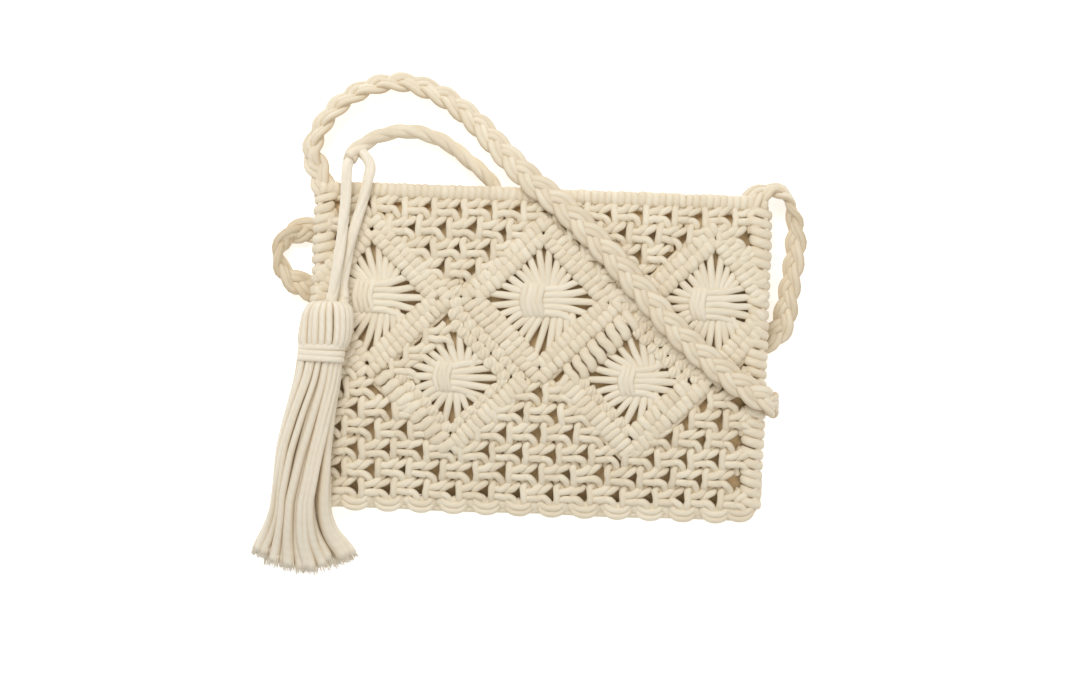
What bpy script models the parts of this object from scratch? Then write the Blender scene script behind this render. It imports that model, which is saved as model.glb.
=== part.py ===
# Macrame bag, lying on its back with its front up and its shoulder strap laid round it.
# Metres, +Z up, the rim toward +Y. The bag is two knotted nets joined at the sides and
# the bottom, with an open cloth lining between them, a row of rope-work diamonds across
# the front and a tassel on a rope that comes out of the mouth.
import math

import bmesh
import bpy
from mathutils import Matrix, Vector

# The bag
BAG_WIDTH = 0.280
BAG_HEIGHT = 0.198
NET_THICK = 0.006
BAR_RELIEF = 0.002
EDGE_WIDTH = 0.007
EDGE_END_SHARE = 0.75
RIM_HEIGHT = 0.010
RIM_THICK = 0.0085
LINING_THICK = 0.0012
LINING_GAP = 0.0006
LINING_FOLD_SHARE = 0.96
HOLLOW_DEPTH = 0.009
HOLLOW_EDGE = 0.003
SEAM_GAP = 0.0003

# The net's gaps
KNOT_PITCH = 0.0187
KNOT_ROW = 0.0126
HOLE_WIDTH = 0.0062
HOLE_HEIGHT = 0.0080
HOLE_RIM = 0.0035
FIRST_ROW = 0.62
NET_STAGGER = 0.25
BACK_COLUMNS = 6
BACK_ROWS = 4
BACK_STAGGER = 0.35

# The diamonds
DIAMOND_PITCH = 0.105
UPPER_CENTRE_Y = 0.030
LOWER_CENTRE_Y = -0.0175
UPPER_HALF = 0.0345
LOWER_HALF = 0.028
UPPER_BAR = 0.0150
LOWER_BAR = 0.0222
STAR_THICK = 0.0045
STAR_RAYS = 12
RAY_WIDTH = 0.0040
HUB_RADIUS = 0.0095
WRAP_WIDTH = 0.012
WRAP_LENGTH = 0.018
WRAP_RISE = 0.0026

# The strap, the rope and its two hanger strands
STRAP_WIDTH = 0.0165
STRAP_THICK = 0.0075
ROPE_THICK = 0.0094
HANGER_THICK = 0.0068
CORD_SPACING = 1.4
STRAP_SIDES = 8

# The tassel
TASSEL_HEAD_LENGTH = 0.0245
TASSEL_BAND_LENGTH = 0.0105
TASSEL_SKIRT_LENGTH = 0.128
TASSEL_HEAD_WIDTH = 0.0290
TASSEL_HEAD_THICK = 0.0200
TASSEL_BAND_WALL = 0.0014
BAND_END = 0.04
TASSEL_LOCKS = 12
LOCK_DEPTH = 0.07

CREAM = (0.80, 0.71, 0.55, 1.0)
CREAM_PALE = (0.84, 0.76, 0.62, 1.0)
LINING_TAN = (0.46, 0.36, 0.22, 1.0)

HALF_W = BAG_WIDTH / 2
HALF_H = BAG_HEIGHT / 2
INNER_W = HALF_W - EDGE_WIDTH - SEAM_GAP
INNER_BOTTOM = -HALF_H + EDGE_WIDTH + SEAM_GAP
INNER_TOP = HALF_H - RIM_HEIGHT - SEAM_GAP
STRAP_LIFT = STRAP_THICK + 2 * SEAM_GAP

# How far the bag is lifted where it bridges the strap: share of the height, share of the lift
LIFT_TABLE = [
    (-0.50, 0.0),
    (-0.42, 0.0),
    (-0.19, 1.0),
    (0.40, 1.0),
    (0.49, 0.0),
    (0.50, 0.0),
]
# How the hollow fills out from the bottom to the mouth: share of the height, share of the depth
FILL_TABLE = [
    (-0.50, 0.0),
    (-0.46, 0.0),
    (-0.28, 0.70),
    (-0.10, 1.0),
    (0.40, 1.0),
    (0.49, 1.5),
    (0.50, 1.5),
]
# How it fills out from each side to the middle: share of the half width, share of the depth
SIDE_TABLE = [
    (0.0, 1.0),
    (0.45, 1.0),
    (0.72, 0.70),
    (0.95, 0.0),
    (1.0, 0.0),
]

# Routes in the bag's own plane, chosen by hand.
# Strap: x, y, height of its middle, the way its flat face looks (x, y, z), share of the
# thickness
STRAP_ROUTE = [
    (-0.1372, 0.1038, 0.0150, (-0.6, 0.2, 0.8), 0.9),
    (-0.1432, 0.1166, 0.0110, (-0.7, 0.2, 0.7), 1.0),
    (-0.1399, 0.1288, 0.0095, (-0.7, 0.4, 0.7), 1.0),
    (-0.1284, 0.1456, 0.0092, (-0.5, 0.6, 0.7), 1.0),
    (-0.1106, 0.1575, 0.0092, (-0.2, 0.8, 0.7), 1.0),
    (-0.0896, 0.1617, 0.0094, (0.1, 0.8, 0.7), 1.0),
    (-0.0681, 0.1558, 0.0105, (0.4, 0.6, 0.8), 1.0),
    (-0.0464, 0.1412, 0.0150, (0.4, 0.5, 1.0), 1.0),
    (-0.0275, 0.1219, 0.0250, (0.2, 0.3, 1.0), 1.0),
    (-0.0086, 0.1032, 0.0330, (0.0, 0.1, 1.0), 1.0),
    (0.0101, 0.0887, 0.0365, (0.0, 0.0, 1.0), 1.0),
    (0.0351, 0.0654, 0.0390, (0.0, 0.0, 1.0), 1.0),
    (0.0603, 0.0390, 0.0390, (0.0, 0.0, 1.0), 1.0),
    (0.0855, 0.0126, 0.0386, (0.0, 0.0, 1.0), 1.0),
    (0.1105, -0.0077, 0.0362, (0.05, 0.0, 1.0), 1.0),
    (0.1300, -0.0205, 0.0340, (0.15, 0.0, 1.0), 1.0),
    (0.1395, -0.0255, 0.0320, (0.5, 0.0, 0.85), 0.9),
    (0.1440, -0.0275, 0.0262, (0.95, 0.0, 0.3), 0.8),
    (0.1448, -0.0280, 0.0170, (1.0, 0.0, 0.0), 0.8),
    (0.1442, -0.0280, 0.0085, (0.9, 0.0, -0.4), 0.8),
    (0.1410, -0.0275, 0.0041, (0.25, 0.0, -0.97), 0.8),
    (0.1340, -0.0262, 0.0039, (0.0, 0.0, -1.0), 0.95),
    (0.0900, -0.0170, 0.00405, (0.0, 0.0, -1.0), 1.0),
    (0.0000, 0.0025, 0.00405, (0.0, 0.0, -1.0), 1.0),
    (-0.1000, 0.0240, 0.00405, (0.0, 0.0, -1.0), 1.0),
    (-0.1407, 0.0330, 0.00405, (0.0, 0.0, -1.0), 1.0),
    (-0.1549, 0.0400, 0.0085, (-0.5, -0.5, -0.65), 1.0),
    (-0.1618, 0.0530, 0.0095, (-1.0, 0.0, -0.1), 1.0),
    (-0.1555, 0.0655, 0.0085, (-0.5, 0.6, -0.6), 1.0),
    (-0.1420, 0.0693, 0.00405, (0.0, 0.0, -1.0), 1.0),
    (-0.1000, 0.0605, 0.00405, (0.0, 0.0, -1.0), 1.0),
    (0.0000, 0.0390, 0.00405, (0.0, 0.0, -1.0), 1.0),
    (0.0950, 0.0180, 0.00405, (0.0, 0.0, -1.0), 1.0),
    (0.1330, 0.0098, 0.00405, (0.0, 0.0, -1.0), 1.0),
    (0.1425, 0.0125, 0.00405, (0.0, 0.0, -1.0), 0.95),
    (0.1495, 0.0215, 0.0064, (0.35, -0.15, -0.9), 1.0),
    (0.1515, 0.0340, 0.0086, (0.6, 0.0, -0.7), 1.0),
    (0.1535, 0.0500, 0.0094, (0.75, 0.0, -0.6), 1.0),
    (0.1555, 0.0720, 0.0096, (0.75, 0.0, -0.6), 1.0),
    (0.1530, 0.0900, 0.0105, (0.8, 0.4, -0.5), 1.0),
    (0.1470, 0.1015, 0.0125, (0.6, 0.8, -0.2), 1.0),
    (0.1360, 0.1032, 0.0150, (0.0, 1.0, 0.0), 0.9),
]
# Rope: x, y, height of its middle
ROPE_ROUTE = [
    (-0.0267, 0.0925, 0.0136),
    (-0.0330, 0.1030, 0.0134),
    (-0.0454, 0.1140, 0.0115),
    (-0.0641, 0.1268, 0.0100),
    (-0.0824, 0.1315, 0.0102),
    (-0.1005, 0.1281, 0.0145),
    (-0.1110, 0.1215, 0.0210),
    (-0.1165, 0.1160, 0.0265),
    (-0.1185, 0.1120, 0.0300),
]
LEFT_HANGER_ROUTE = [
    (-0.1189, 0.1107, 0.0311),
    (-0.1196, 0.1050, 0.0345),
    (-0.1194, 0.0970, 0.0360),
    (-0.1191, 0.0889, 0.0365),
    (-0.1205, 0.0700, 0.0385),
    (-0.1222, 0.0470, 0.0412),
    (-0.1243, 0.0330, 0.0412),
    (-0.1258, 0.0247, 0.0405),
]
RIGHT_HANGER_ROUTE = [
    (-0.1090, 0.1140, 0.0268),
    (-0.1058, 0.1085, 0.0290),
    (-0.1067, 0.0985, 0.0315),
    (-0.1090, 0.0880, 0.0330),
    (-0.1125, 0.0740, 0.0352),
    (-0.1180, 0.0470, 0.0352),
    (-0.1192, 0.0340, 0.0350),
    (-0.1180, 0.0270, 0.0355),
]

# Tassel sections, from the crown of the head to the frayed end. Columns: share of the
# length of its stretch, middle x and height of the middle in metres, width and thickness
# as shares of the head's
HEAD_TABLE = [
    (0.00, -0.1262, 0.0405, 0.18, 0.22),
    (0.08, -0.1264, 0.0405, 0.60, 0.62),
    (0.30, -0.1272, 0.0405, 0.92, 0.92),
    (0.60, -0.1280, 0.0405, 1.00, 1.00),
    (0.85, -0.1290, 0.0403, 0.97, 0.95),
    (1.00, -0.1298, 0.0400, 0.86, 0.86),
]
SKIRT_TABLE = [
    (0.00, -0.1308, 0.0398, 0.86, 0.86),
    (0.08, -0.1318, 0.0390, 0.97, 0.95),
    (0.30, -0.1360, 0.0353, 1.12, 0.90),
    (0.50, -0.1395, 0.0306, 1.25, 0.80),
    (0.68, -0.1405, 0.0268, 1.45, 0.72),
    (0.80, -0.1400, 0.0200, 1.75, 0.72),
    (0.91, -0.1385, 0.0123, 2.10, 0.76),
    (0.97, -0.1350, 0.0086, 2.05, 0.74),
    (1.00, -0.1320, 0.0078, 1.50, 0.55),
]
TASSEL_TOP_Y = 0.0240

CORD_NAMES = ("shoulder_strap", "tassel_rope", "hanger_left", "hanger_right")

for old in list(bpy.data.objects):
    bpy.data.objects.remove(old, do_unlink=True)

parts = bpy.data.collections.new("macrame_bag")
bpy.context.scene.collection.children.link(parts)


def material(name, colour, roughness):
    found = bpy.data.materials.get(name)
    if found:
        return found
    made = bpy.data.materials.new(name)
    made.use_nodes = True
    shader = made.node_tree.nodes["Principled BSDF"]
    shader.inputs["Base Color"].default_value = colour
    shader.inputs["Roughness"].default_value = roughness
    shader.inputs["Metallic"].default_value = 0.0
    return made


def cotton(name):
    return material(name + "_cotton", CREAM, 0.9)


def add_part(name, mesh, look):
    mesh.name = name
    mesh.materials.clear()
    mesh.materials.append(look)
    part = bpy.data.objects.new(name, mesh)
    parts.objects.link(part)
    return part


def from_table(table, share):
    """Value at a share, straight between the rows of a table."""
    if share <= table[0][0]:
        return table[0][1]
    for low, high in zip(table, table[1:]):
        if share <= high[0]:
            along = (share - low[0]) / (high[0] - low[0])
            return low[1] + along * (high[1] - low[1])
    return table[-1][1]


def lift(y):
    return STRAP_LIFT * from_table(LIFT_TABLE, y / BAG_HEIGHT)


def hollow(x, y):
    fill = from_table(FILL_TABLE, y / BAG_HEIGHT) * from_table(SIDE_TABLE, abs(x) / HALF_W)
    return HOLLOW_EDGE + (HOLLOW_DEPTH - HOLLOW_EDGE) * fill


def back_base(x, y):
    return lift(y)


def lining_low(x, y):
    return lift(y) + NET_THICK + LINING_GAP


def lining_high(x, y):
    return lining_low(x, y) + 2 * LINING_THICK + hollow(x, y)


def front_base(x, y):
    return lining_high(x, y) + LINING_GAP


def star_base(x, y):
    return front_base(x, y) + (NET_THICK - STAR_THICK) / 2


def fold_lines():
    """The straight lines, along X and along Y, where the nets bend."""
    ys = {row[0] * BAG_HEIGHT for row in LIFT_TABLE + FILL_TABLE}
    xs = {side * row[0] * HALF_W for row in SIDE_TABLE for side in (-1, 1)}
    return sorted(xs), sorted(ys)


def flat_plate(name, outline, holes, thickness):
    """A closed flat plate with holes cut through, from a filled 2D curve."""
    curve = bpy.data.curves.new(name + "_outline", "CURVE")
    curve.dimensions = "2D"
    curve.fill_mode = "BOTH"
    curve.extrude = thickness / 2
    for points in [outline] + holes:
        spline = curve.splines.new("POLY")
        spline.points.add(len(points) - 1)
        for point, place in zip(spline.points, points):
            point.co = (place[0], place[1], 0.0, 1.0)
        spline.use_cyclic_u = True
    holder = bpy.data.objects.new(name + "_outline", curve)
    parts.objects.link(holder)
    bpy.context.view_layer.update()
    evaluated = holder.evaluated_get(bpy.context.evaluated_depsgraph_get())
    mesh = bpy.data.meshes.new_from_object(evaluated)
    bpy.data.objects.remove(holder, do_unlink=True)
    bpy.data.curves.remove(curve)
    return mesh


def drape(mesh, base, thickness, folds_along_x=True):
    """Bends a flat plate over the surface that base(x, y) gives, fold by fold."""
    shape = bmesh.new()
    shape.from_mesh(mesh)
    bmesh.ops.remove_doubles(shape, verts=shape.verts, dist=1e-6)
    low_x = min(v.co.x for v in shape.verts)
    high_x = max(v.co.x for v in shape.verts)
    low_y = min(v.co.y for v in shape.verts)
    high_y = max(v.co.y for v in shape.verts)
    xs, ys = fold_lines()
    if not folds_along_x:
        xs = []
    cuts = [((x, 0, 0), (1, 0, 0)) for x in xs if low_x + 0.001 < x < high_x - 0.001]
    cuts += [((0, y, 0), (0, 1, 0)) for y in ys if low_y + 0.001 < y < high_y - 0.001]
    for place, way in cuts:
        everything = shape.verts[:] + shape.edges[:] + shape.faces[:]
        bmesh.ops.bisect_plane(shape, geom=everything, dist=1e-5, plane_co=place, plane_no=way)
    bmesh.ops.triangulate(shape, faces=shape.faces)
    for v in shape.verts:
        v.co.z += thickness / 2 + base(v.co.x, v.co.y)
    bmesh.ops.recalc_face_normals(shape, faces=shape.faces)
    shape.to_mesh(mesh)
    shape.free()
    return mesh


def loft(rings, closed_ends=True):
    """A closed skin through rings that all have as many points."""
    shape = bmesh.new()
    rows = [[shape.verts.new(p) for p in ring] for ring in rings]
    count = len(rings[0])
    for low, high in zip(rows, rows[1:]):
        for k in range(count):
            nxt = (k + 1) % count
            shape.faces.new((low[k], low[nxt], high[nxt], high[k]))
    if closed_ends:
        shape.faces.new(rows[0])
        shape.faces.new(rows[-1])
    bmesh.ops.remove_doubles(shape, verts=shape.verts, dist=1e-7)
    bmesh.ops.triangulate(shape, faces=shape.faces)
    bmesh.ops.recalc_face_normals(shape, faces=shape.faces)
    mesh = bpy.data.meshes.new("loft")
    shape.to_mesh(mesh)
    shape.free()
    return mesh


def smooth_route(rows, spacing):
    """Points on a smooth curve through hand-chosen rows: the rows' own places, and more
    between them where they are further apart than the spacing. What a row holds after its
    place changes evenly on the way to the next row."""
    places = [Vector(row[:3]) for row in rows]
    extras = [Vector(row[3:]) if len(row) > 4 else None for row in rows]
    picked = []
    for k in range(len(rows) - 1):
        before = places[max(k - 1, 0)]
        start, end = places[k], places[k + 1]
        after = places[min(k + 2, len(rows) - 1)]
        steps = max(1, round((end - start).length / spacing))
        for step in range(steps):
            t = step / steps
            place = 0.5 * (2 * start + (end - before) * t
                           + (2 * before - 5 * start + 4 * end - after) * t * t
                           + (3 * start - before - 3 * end + after) * t * t * t)
            extra = extras[k].lerp(extras[k + 1], t) if extras[k] else None
            picked.append((place, extra))
    picked.append((places[-1], extras[-1]))
    return picked


def diamond_table():
    """Each diamond's name, centre, half width to the left and right, and half height."""
    reach = INNER_W - DIAMOND_PITCH - EDGE_WIDTH / 3
    outer = min(UPPER_HALF, reach)
    return [
        ("left", -DIAMOND_PITCH, UPPER_CENTRE_Y, outer, UPPER_HALF, UPPER_HALF),
        ("centre", 0.0, UPPER_CENTRE_Y, UPPER_HALF, UPPER_HALF, UPPER_HALF),
        ("right", DIAMOND_PITCH, UPPER_CENTRE_Y, UPPER_HALF, outer, UPPER_HALF),
        ("low_left", -DIAMOND_PITCH / 2, LOWER_CENTRE_Y, LOWER_HALF, LOWER_HALF, LOWER_HALF),
        ("low_right", DIAMOND_PITCH / 2, LOWER_CENTRE_Y, LOWER_HALF, LOWER_HALF, LOWER_HALF),
    ]


def corners(row):
    name, x, y, left, right, tall = row
    return [(x - left, y), (x, y - tall), (x + right, y), (x, y + tall)]


def upper_line(x):
    reach = UPPER_HALF + UPPER_BAR
    return max(UPPER_CENTRE_Y + reach - abs(x - k * DIAMOND_PITCH) for k in (-1, 0, 1))


def lower_line(x):
    high = [UPPER_CENTRE_Y - UPPER_HALF - UPPER_BAR + abs(x - k * DIAMOND_PITCH)
            for k in (-1, 0, 1)]
    low = [LOWER_CENTRE_Y - LOWER_HALF - LOWER_BAR + abs(x - k * DIAMOND_PITCH)
           for k in (-0.5, 0.5)]
    return min(high + low)


def zigzag(line, centres, margin):
    """The corners and notches of the diamonds' outer line, moved by a margin."""
    xs = [-INNER_W]
    for left, right in zip(centres, centres[1:]):
        xs += [left, (left + right) / 2]
    xs += [centres[-1], INNER_W]
    return [(x, line(x) + margin) for x in xs]


def upper_zigzag(margin):
    return zigzag(upper_line, [k * DIAMOND_PITCH for k in (-1, 0, 1)], margin)


def lower_zigzag(margin):
    low = [k * DIAMOND_PITCH for k in (-0.5, 0.5)]
    high = UPPER_CENTRE_Y - UPPER_HALF - UPPER_BAR
    deep = LOWER_CENTRE_Y - LOWER_HALF - LOWER_BAR
    shift = (high - deep) - DIAMOND_PITCH / 2
    points = [-INNER_W, -DIAMOND_PITCH - shift / 2, -DIAMOND_PITCH, low[0], -shift / 2, 0.0]
    xs = sorted({round(x, 6) for x in points} | {round(-x, 6) for x in points})
    return [(x, lower_line(x) + margin) for x in xs]


def diamond_hole(x, y):
    return [(x - HOLE_WIDTH / 2, y), (x, y - HOLE_HEIGHT / 2),
            (x + HOLE_WIDTH / 2, y), (x, y + HOLE_HEIGHT / 2)]


def net_holes(inside):
    """The gaps between knots, row by row, that keep a rim of cord inside the plate."""
    holes = []
    rows = int(BAG_HEIGHT / KNOT_ROW) + 1
    columns = int(HALF_W / KNOT_PITCH) + 2
    for row in range(rows):
        y = INNER_TOP - (row + FIRST_ROW) * KNOT_ROW
        offset = NET_STAGGER if row % 2 else 1 - NET_STAGGER
        for column in range(-columns, columns):
            x = (column + offset) * KNOT_PITCH
            reach_x = HOLE_WIDTH / 2 + HOLE_RIM
            reach_y = HOLE_HEIGHT / 2 + HOLE_RIM
            spots = [(x + i * reach_x, y + j * reach_y)
                     for i, j in ((-1, 0), (1, 0), (0, -1), (0, 1))]
            if all(inside(*spot) for spot in spots):
                holes.append(diamond_hole(x, y))
    return holes


def make_front_nets():
    upper = upper_zigzag(SEAM_GAP)
    outline = upper + [(INNER_W, INNER_TOP), (-INNER_W, INNER_TOP)]
    holes = net_holes(lambda x, y: abs(x) < INNER_W and upper_line(x) < y < INNER_TOP)
    mesh = drape(flat_plate("front_net_upper", outline, holes, NET_THICK), front_base, NET_THICK)
    add_part("front_net_upper", mesh, cotton("net"))
    lower = lower_zigzag(-SEAM_GAP)
    outline = lower + [(INNER_W, INNER_BOTTOM), (-INNER_W, INNER_BOTTOM)]
    holes = net_holes(lambda x, y: abs(x) < INNER_W and INNER_BOTTOM < y < lower_line(x))
    mesh = drape(flat_plate("front_net_lower", outline, holes, NET_THICK), front_base, NET_THICK)
    add_part("front_net_lower", mesh, cotton("net"))


def make_diamond_bars():
    """The zigzag band of hitch bars, raised above the nets, with its five openings."""
    thickness = NET_THICK + BAR_RELIEF
    outline = upper_zigzag(0.0) + lower_zigzag(0.0)[::-1]
    holes = [corners(row) for row in diamond_table()]
    mesh = drape(flat_plate("diamond_bars", outline, holes, thickness), front_base, thickness)
    add_part("diamond_bars", mesh, cotton("diamond_bars"))


def ray_length(way, aside, spots, centre):
    """How far a ray's side runs before it is a seam's gap from the opening's edge."""
    across = Vector((-way.y, way.x))
    best = 1.0
    for k, spot in enumerate(spots):
        start = Vector(spot) - centre
        end = Vector(spots[(k + 1) % 4]) - centre
        edge = (end - start).normalized()
        out = Vector((edge.y, -edge.x))
        reach = out.dot(start) - SEAM_GAP
        if out.dot(way) > 1e-6:
            best = min(best, (reach - aside * out.dot(across)) / out.dot(way))
    return best


def make_star(row):
    """A sheaf knot: rays from the opening's edge to a hub with a raised wrap."""
    name, x, y = row[:3]
    centre = Vector((x, y))
    spots = corners(row)
    outline = []
    for k in range(STAR_RAYS):
        angle = 2 * math.pi * (k + 0.5) / STAR_RAYS
        way = Vector((math.cos(angle), math.sin(angle)))
        across = Vector((-way.y, way.x))
        for aside, at_hub in ((-1, True), (-1, False), (1, False), (1, True)):
            side = aside * RAY_WIDTH / 2
            length = HUB_RADIUS if at_hub else ray_length(way, side, spots, centre)
            outline.append(centre + way * length + across * side)
    node = "star_" + name
    mesh = drape(flat_plate(node, outline, [], STAR_THICK), star_base, STAR_THICK)
    star = add_part(node, mesh, cotton("star"))
    bpy.ops.mesh.primitive_uv_sphere_add(segments=12, ring_count=6, radius=0.5)
    wrap = bpy.context.object
    tall = STAR_THICK + WRAP_RISE
    wrap.data.transform(Matrix.Diagonal((WRAP_WIDTH, WRAP_LENGTH, tall, 1.0)))
    wrap.location = (x, y, star_base(x, y) + tall / 2)
    bpy.context.view_layer.update()
    union = star.modifiers.new("wrap", "BOOLEAN")
    union.operation = "UNION"
    union.solver = "EXACT"
    union.object = wrap
    bpy.context.view_layer.update()
    evaluated = star.evaluated_get(bpy.context.evaluated_depsgraph_get())
    joined = bpy.data.meshes.new_from_object(evaluated)
    star.modifiers.clear()
    star.data = joined
    bpy.data.objects.remove(wrap, do_unlink=True)


def make_back_net():
    """The plain back net, with a coarser set of gaps."""
    outline = [(-INNER_W, INNER_BOTTOM), (INNER_W, INNER_BOTTOM),
               (INNER_W, INNER_TOP), (-INNER_W, INNER_TOP)]
    holes = []
    for row in range(BACK_ROWS):
        y = INNER_BOTTOM + (row + 0.5) * (INNER_TOP - INNER_BOTTOM) / BACK_ROWS
        for column in range(BACK_COLUMNS):
            shift = BACK_STAGGER if row % 2 else 1 - BACK_STAGGER
            x = -INNER_W + (column + shift) * 2 * INNER_W / BACK_COLUMNS
            holes.append(diamond_hole(x, y))
    plate = flat_plate("back_net", outline, holes, NET_THICK)
    mesh = drape(plate, back_base, NET_THICK, folds_along_x=False)
    add_part("back_net", mesh, cotton("net"))


def rim_ring(x, y, z):
    ring = []
    for k in range(10):
        angle = 2 * math.pi * k / 10
        ring.append((x, y + math.cos(angle) * RIM_HEIGHT / 2, z + math.sin(angle) * RIM_THICK / 2))
    return ring


def make_rims():
    """The two rolls of mounting knots along the mouth."""
    y = HALF_H - RIM_HEIGHT / 2
    xs = sorted({x for x in fold_lines()[0] if abs(x) < INNER_W} | {-INNER_W, INNER_W})
    back = [rim_ring(x, y, RIM_THICK / 2) for x in xs]
    add_part("rim_back", loft(back), cotton("rim"))
    front = [rim_ring(x, y, front_base(x, y) + NET_THICK / 2) for x in xs]
    add_part("rim_front", loft(front), cotton("rim"))


def edge_ring(place, width, low, high, along_y):
    """A rounded section of an edge piece, from the back's underside to the front's top."""
    half = width / 2
    soft = min(half, (high - low) / 2) * 0.6
    flat = [(-half, low + soft), (-half + soft, low), (half - soft, low), (half, low + soft),
            (half, high - soft), (half - soft, high), (-half + soft, high), (-half, high - soft)]
    if along_y:
        return [(place[0] + a, place[1], z) for a, z in flat]
    return [(place[0], place[1] + a, z) for a, z in flat]


def make_edges():
    """The knotted side edges and the bottom edge, which join the two nets."""
    ys = sorted({y for y in fold_lines()[1]} | {HALF_H - 0.5 * RIM_HEIGHT})
    for side, name in ((-1, "side_edge_left"), (1, "side_edge_right")):
        x = side * (HALF_W - EDGE_WIDTH / 2)
        rings = []
        for y in ys:
            end_soft = EDGE_END_SHARE if abs(abs(y) - HALF_H) < 1e-6 else 1.0
            top = front_base(x, y) + NET_THICK
            rings.append(edge_ring((x, y), EDGE_WIDTH * end_soft, lift(y), top, True))
        add_part(name, loft(rings), cotton("edge"))
    reach = HALF_W - EDGE_WIDTH - SEAM_GAP
    xs = sorted({x for x in fold_lines()[0] if abs(x) < reach} | {-reach, reach})
    y = -HALF_H + EDGE_WIDTH / 2
    rings = [edge_ring((x, y), EDGE_WIDTH, lift(y), front_base(x, y) + NET_THICK, False) for x in xs]
    add_part("bottom_edge", loft(rings), cotton("edge"))


def lining_loop(y, inset, share):
    """One loop round the pouch at height y; inset moves it inward by the wall."""
    xs = sorted({x for x in fold_lines()[0] if abs(x) < INNER_W * LINING_FOLD_SHARE})
    half = INNER_W - LINING_GAP - inset
    low = [(x, lining_low(x, y) + inset) for x in xs]
    high = [(x, lining_high(x, y) - inset) for x in xs]
    middle = (lining_low(half, y) + lining_high(half, y)) / 2
    ring = [(-half, middle)] + low + [(half, middle)] + high[::-1]
    return [(x, y, middle + (z - middle) * share) for x, z in ring]


def make_lining():
    """An open pouch: outer skin from the mouth down, inner skin back up to the mouth."""
    mouth = INNER_TOP - 0.002
    foot = INNER_BOTTOM + 0.0008
    ys = [y for y in fold_lines()[1] if foot + 0.004 < y < mouth - 0.004] + [mouth]
    outer = [lining_loop(y, 0.0, 1.0) for y in reversed(ys)]
    outer.append(lining_loop(foot, 0.0, 0.8))
    inner = [lining_loop(foot + LINING_THICK, LINING_THICK, 0.8)]
    inner += [lining_loop(y, LINING_THICK, 1.0) for y in ys]
    shape = bmesh.new()
    rows_out = [[shape.verts.new(p) for p in ring] for ring in outer]
    rows_in = [[shape.verts.new(p) for p in ring] for ring in inner]
    count = len(outer[0])
    for rows in (rows_out, rows_in):
        for low, high in zip(rows, rows[1:]):
            for k in range(count):
                nxt = (k + 1) % count
                shape.faces.new((low[k], low[nxt], high[nxt], high[k]))
    half = count // 2
    for ring in (rows_out[-1], rows_in[0]):
        for k in range(half):
            a, b = ring[k], ring[k + 1]
            c, d = ring[(count - k - 1) % count], ring[(count - k) % count]
            spots = [a, b, c] if k == 0 else ([a, b, d] if k == half - 1 else [a, b, c, d])
            shape.faces.new(spots)
    for k in range(count):
        nxt = (k + 1) % count
        shape.faces.new((rows_out[0][k], rows_out[0][nxt], rows_in[-1][nxt], rows_in[-1][k]))
    bmesh.ops.triangulate(shape, faces=shape.faces)
    bmesh.ops.recalc_face_normals(shape, faces=shape.faces)
    mesh = bpy.data.meshes.new("lining")
    shape.to_mesh(mesh)
    shape.free()
    add_part("lining", mesh, material("lining_cloth", LINING_TAN, 0.95))


def make_strap():
    """The flat braided strap, laid as a band whose face follows the route's own way."""
    rows = [row[:3] + row[3] + (row[4],) for row in STRAP_ROUTE]
    spots = smooth_route(rows, STRAP_WIDTH * CORD_SPACING)
    rings = []
    for k, (place, extra) in enumerate(spots):
        ahead = spots[min(k + 1, len(spots) - 1)][0] - spots[max(k - 1, 0)][0]
        ahead.normalize()
        face = Vector(extra[:3])
        face = (face - ahead * face.dot(ahead)).normalized()
        across = ahead.cross(face)
        ring = []
        for step in range(STRAP_SIDES):
            angle = 2 * math.pi * step / STRAP_SIDES
            ring.append(place + across * math.cos(angle) * STRAP_WIDTH / 2
                        + face * math.sin(angle) * STRAP_THICK / 2 * extra[3])
        rings.append(ring)
    add_part("shoulder_strap", loft(rings), cotton("strap"))


def make_cord(name, route, thickness):
    """A round cord: a smooth curve with a round bevel and closed ends."""
    curve = bpy.data.curves.new(name, "CURVE")
    curve.dimensions = "3D"
    curve.bevel_depth = thickness / 2
    curve.bevel_resolution = 2
    curve.use_fill_caps = True
    spots = smooth_route(route, thickness * CORD_SPACING)
    spline = curve.splines.new("POLY")
    spline.points.add(len(spots) - 1)
    for point, (place, extra) in zip(spline.points, spots):
        point.co = (place.x, place.y, place.z, 1.0)
    cord = bpy.data.objects.new(name, curve)
    curve.materials.append(cotton("rope"))
    parts.objects.link(cord)


def tassel_ring(y, x, z, width, thick, locks):
    ring = []
    count = TASSEL_LOCKS * 2
    for k in range(count):
        angle = 2 * math.pi * k / count
        swell = 1.0 - (LOCK_DEPTH * locks if k % 2 else 0.0)
        ring.append((x + math.cos(angle) * width / 2 * swell, y,
                     z + math.sin(angle) * thick / 2 * swell))
    return ring


def make_tassel():
    """Head, waist under the band, and a skirt of fused locks that flares to its end."""
    rings = []
    for share, x, z, wide, thick in HEAD_TABLE:
        y = TASSEL_TOP_Y - share * TASSEL_HEAD_LENGTH
        rings.append(tassel_ring(y, x, z, wide * TASSEL_HEAD_WIDTH, thick * TASSEL_HEAD_THICK, 0.4))
    band_foot = TASSEL_TOP_Y - TASSEL_HEAD_LENGTH - TASSEL_BAND_LENGTH
    for share, x, z, wide, thick in SKIRT_TABLE:
        y = band_foot - share * TASSEL_SKIRT_LENGTH
        rings.append(tassel_ring(y, x, z, wide * TASSEL_HEAD_WIDTH, thick * TASSEL_HEAD_THICK, 1.0))
    add_part("tassel", loft(rings), material("tassel_cotton", CREAM_PALE, 0.9))


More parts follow.
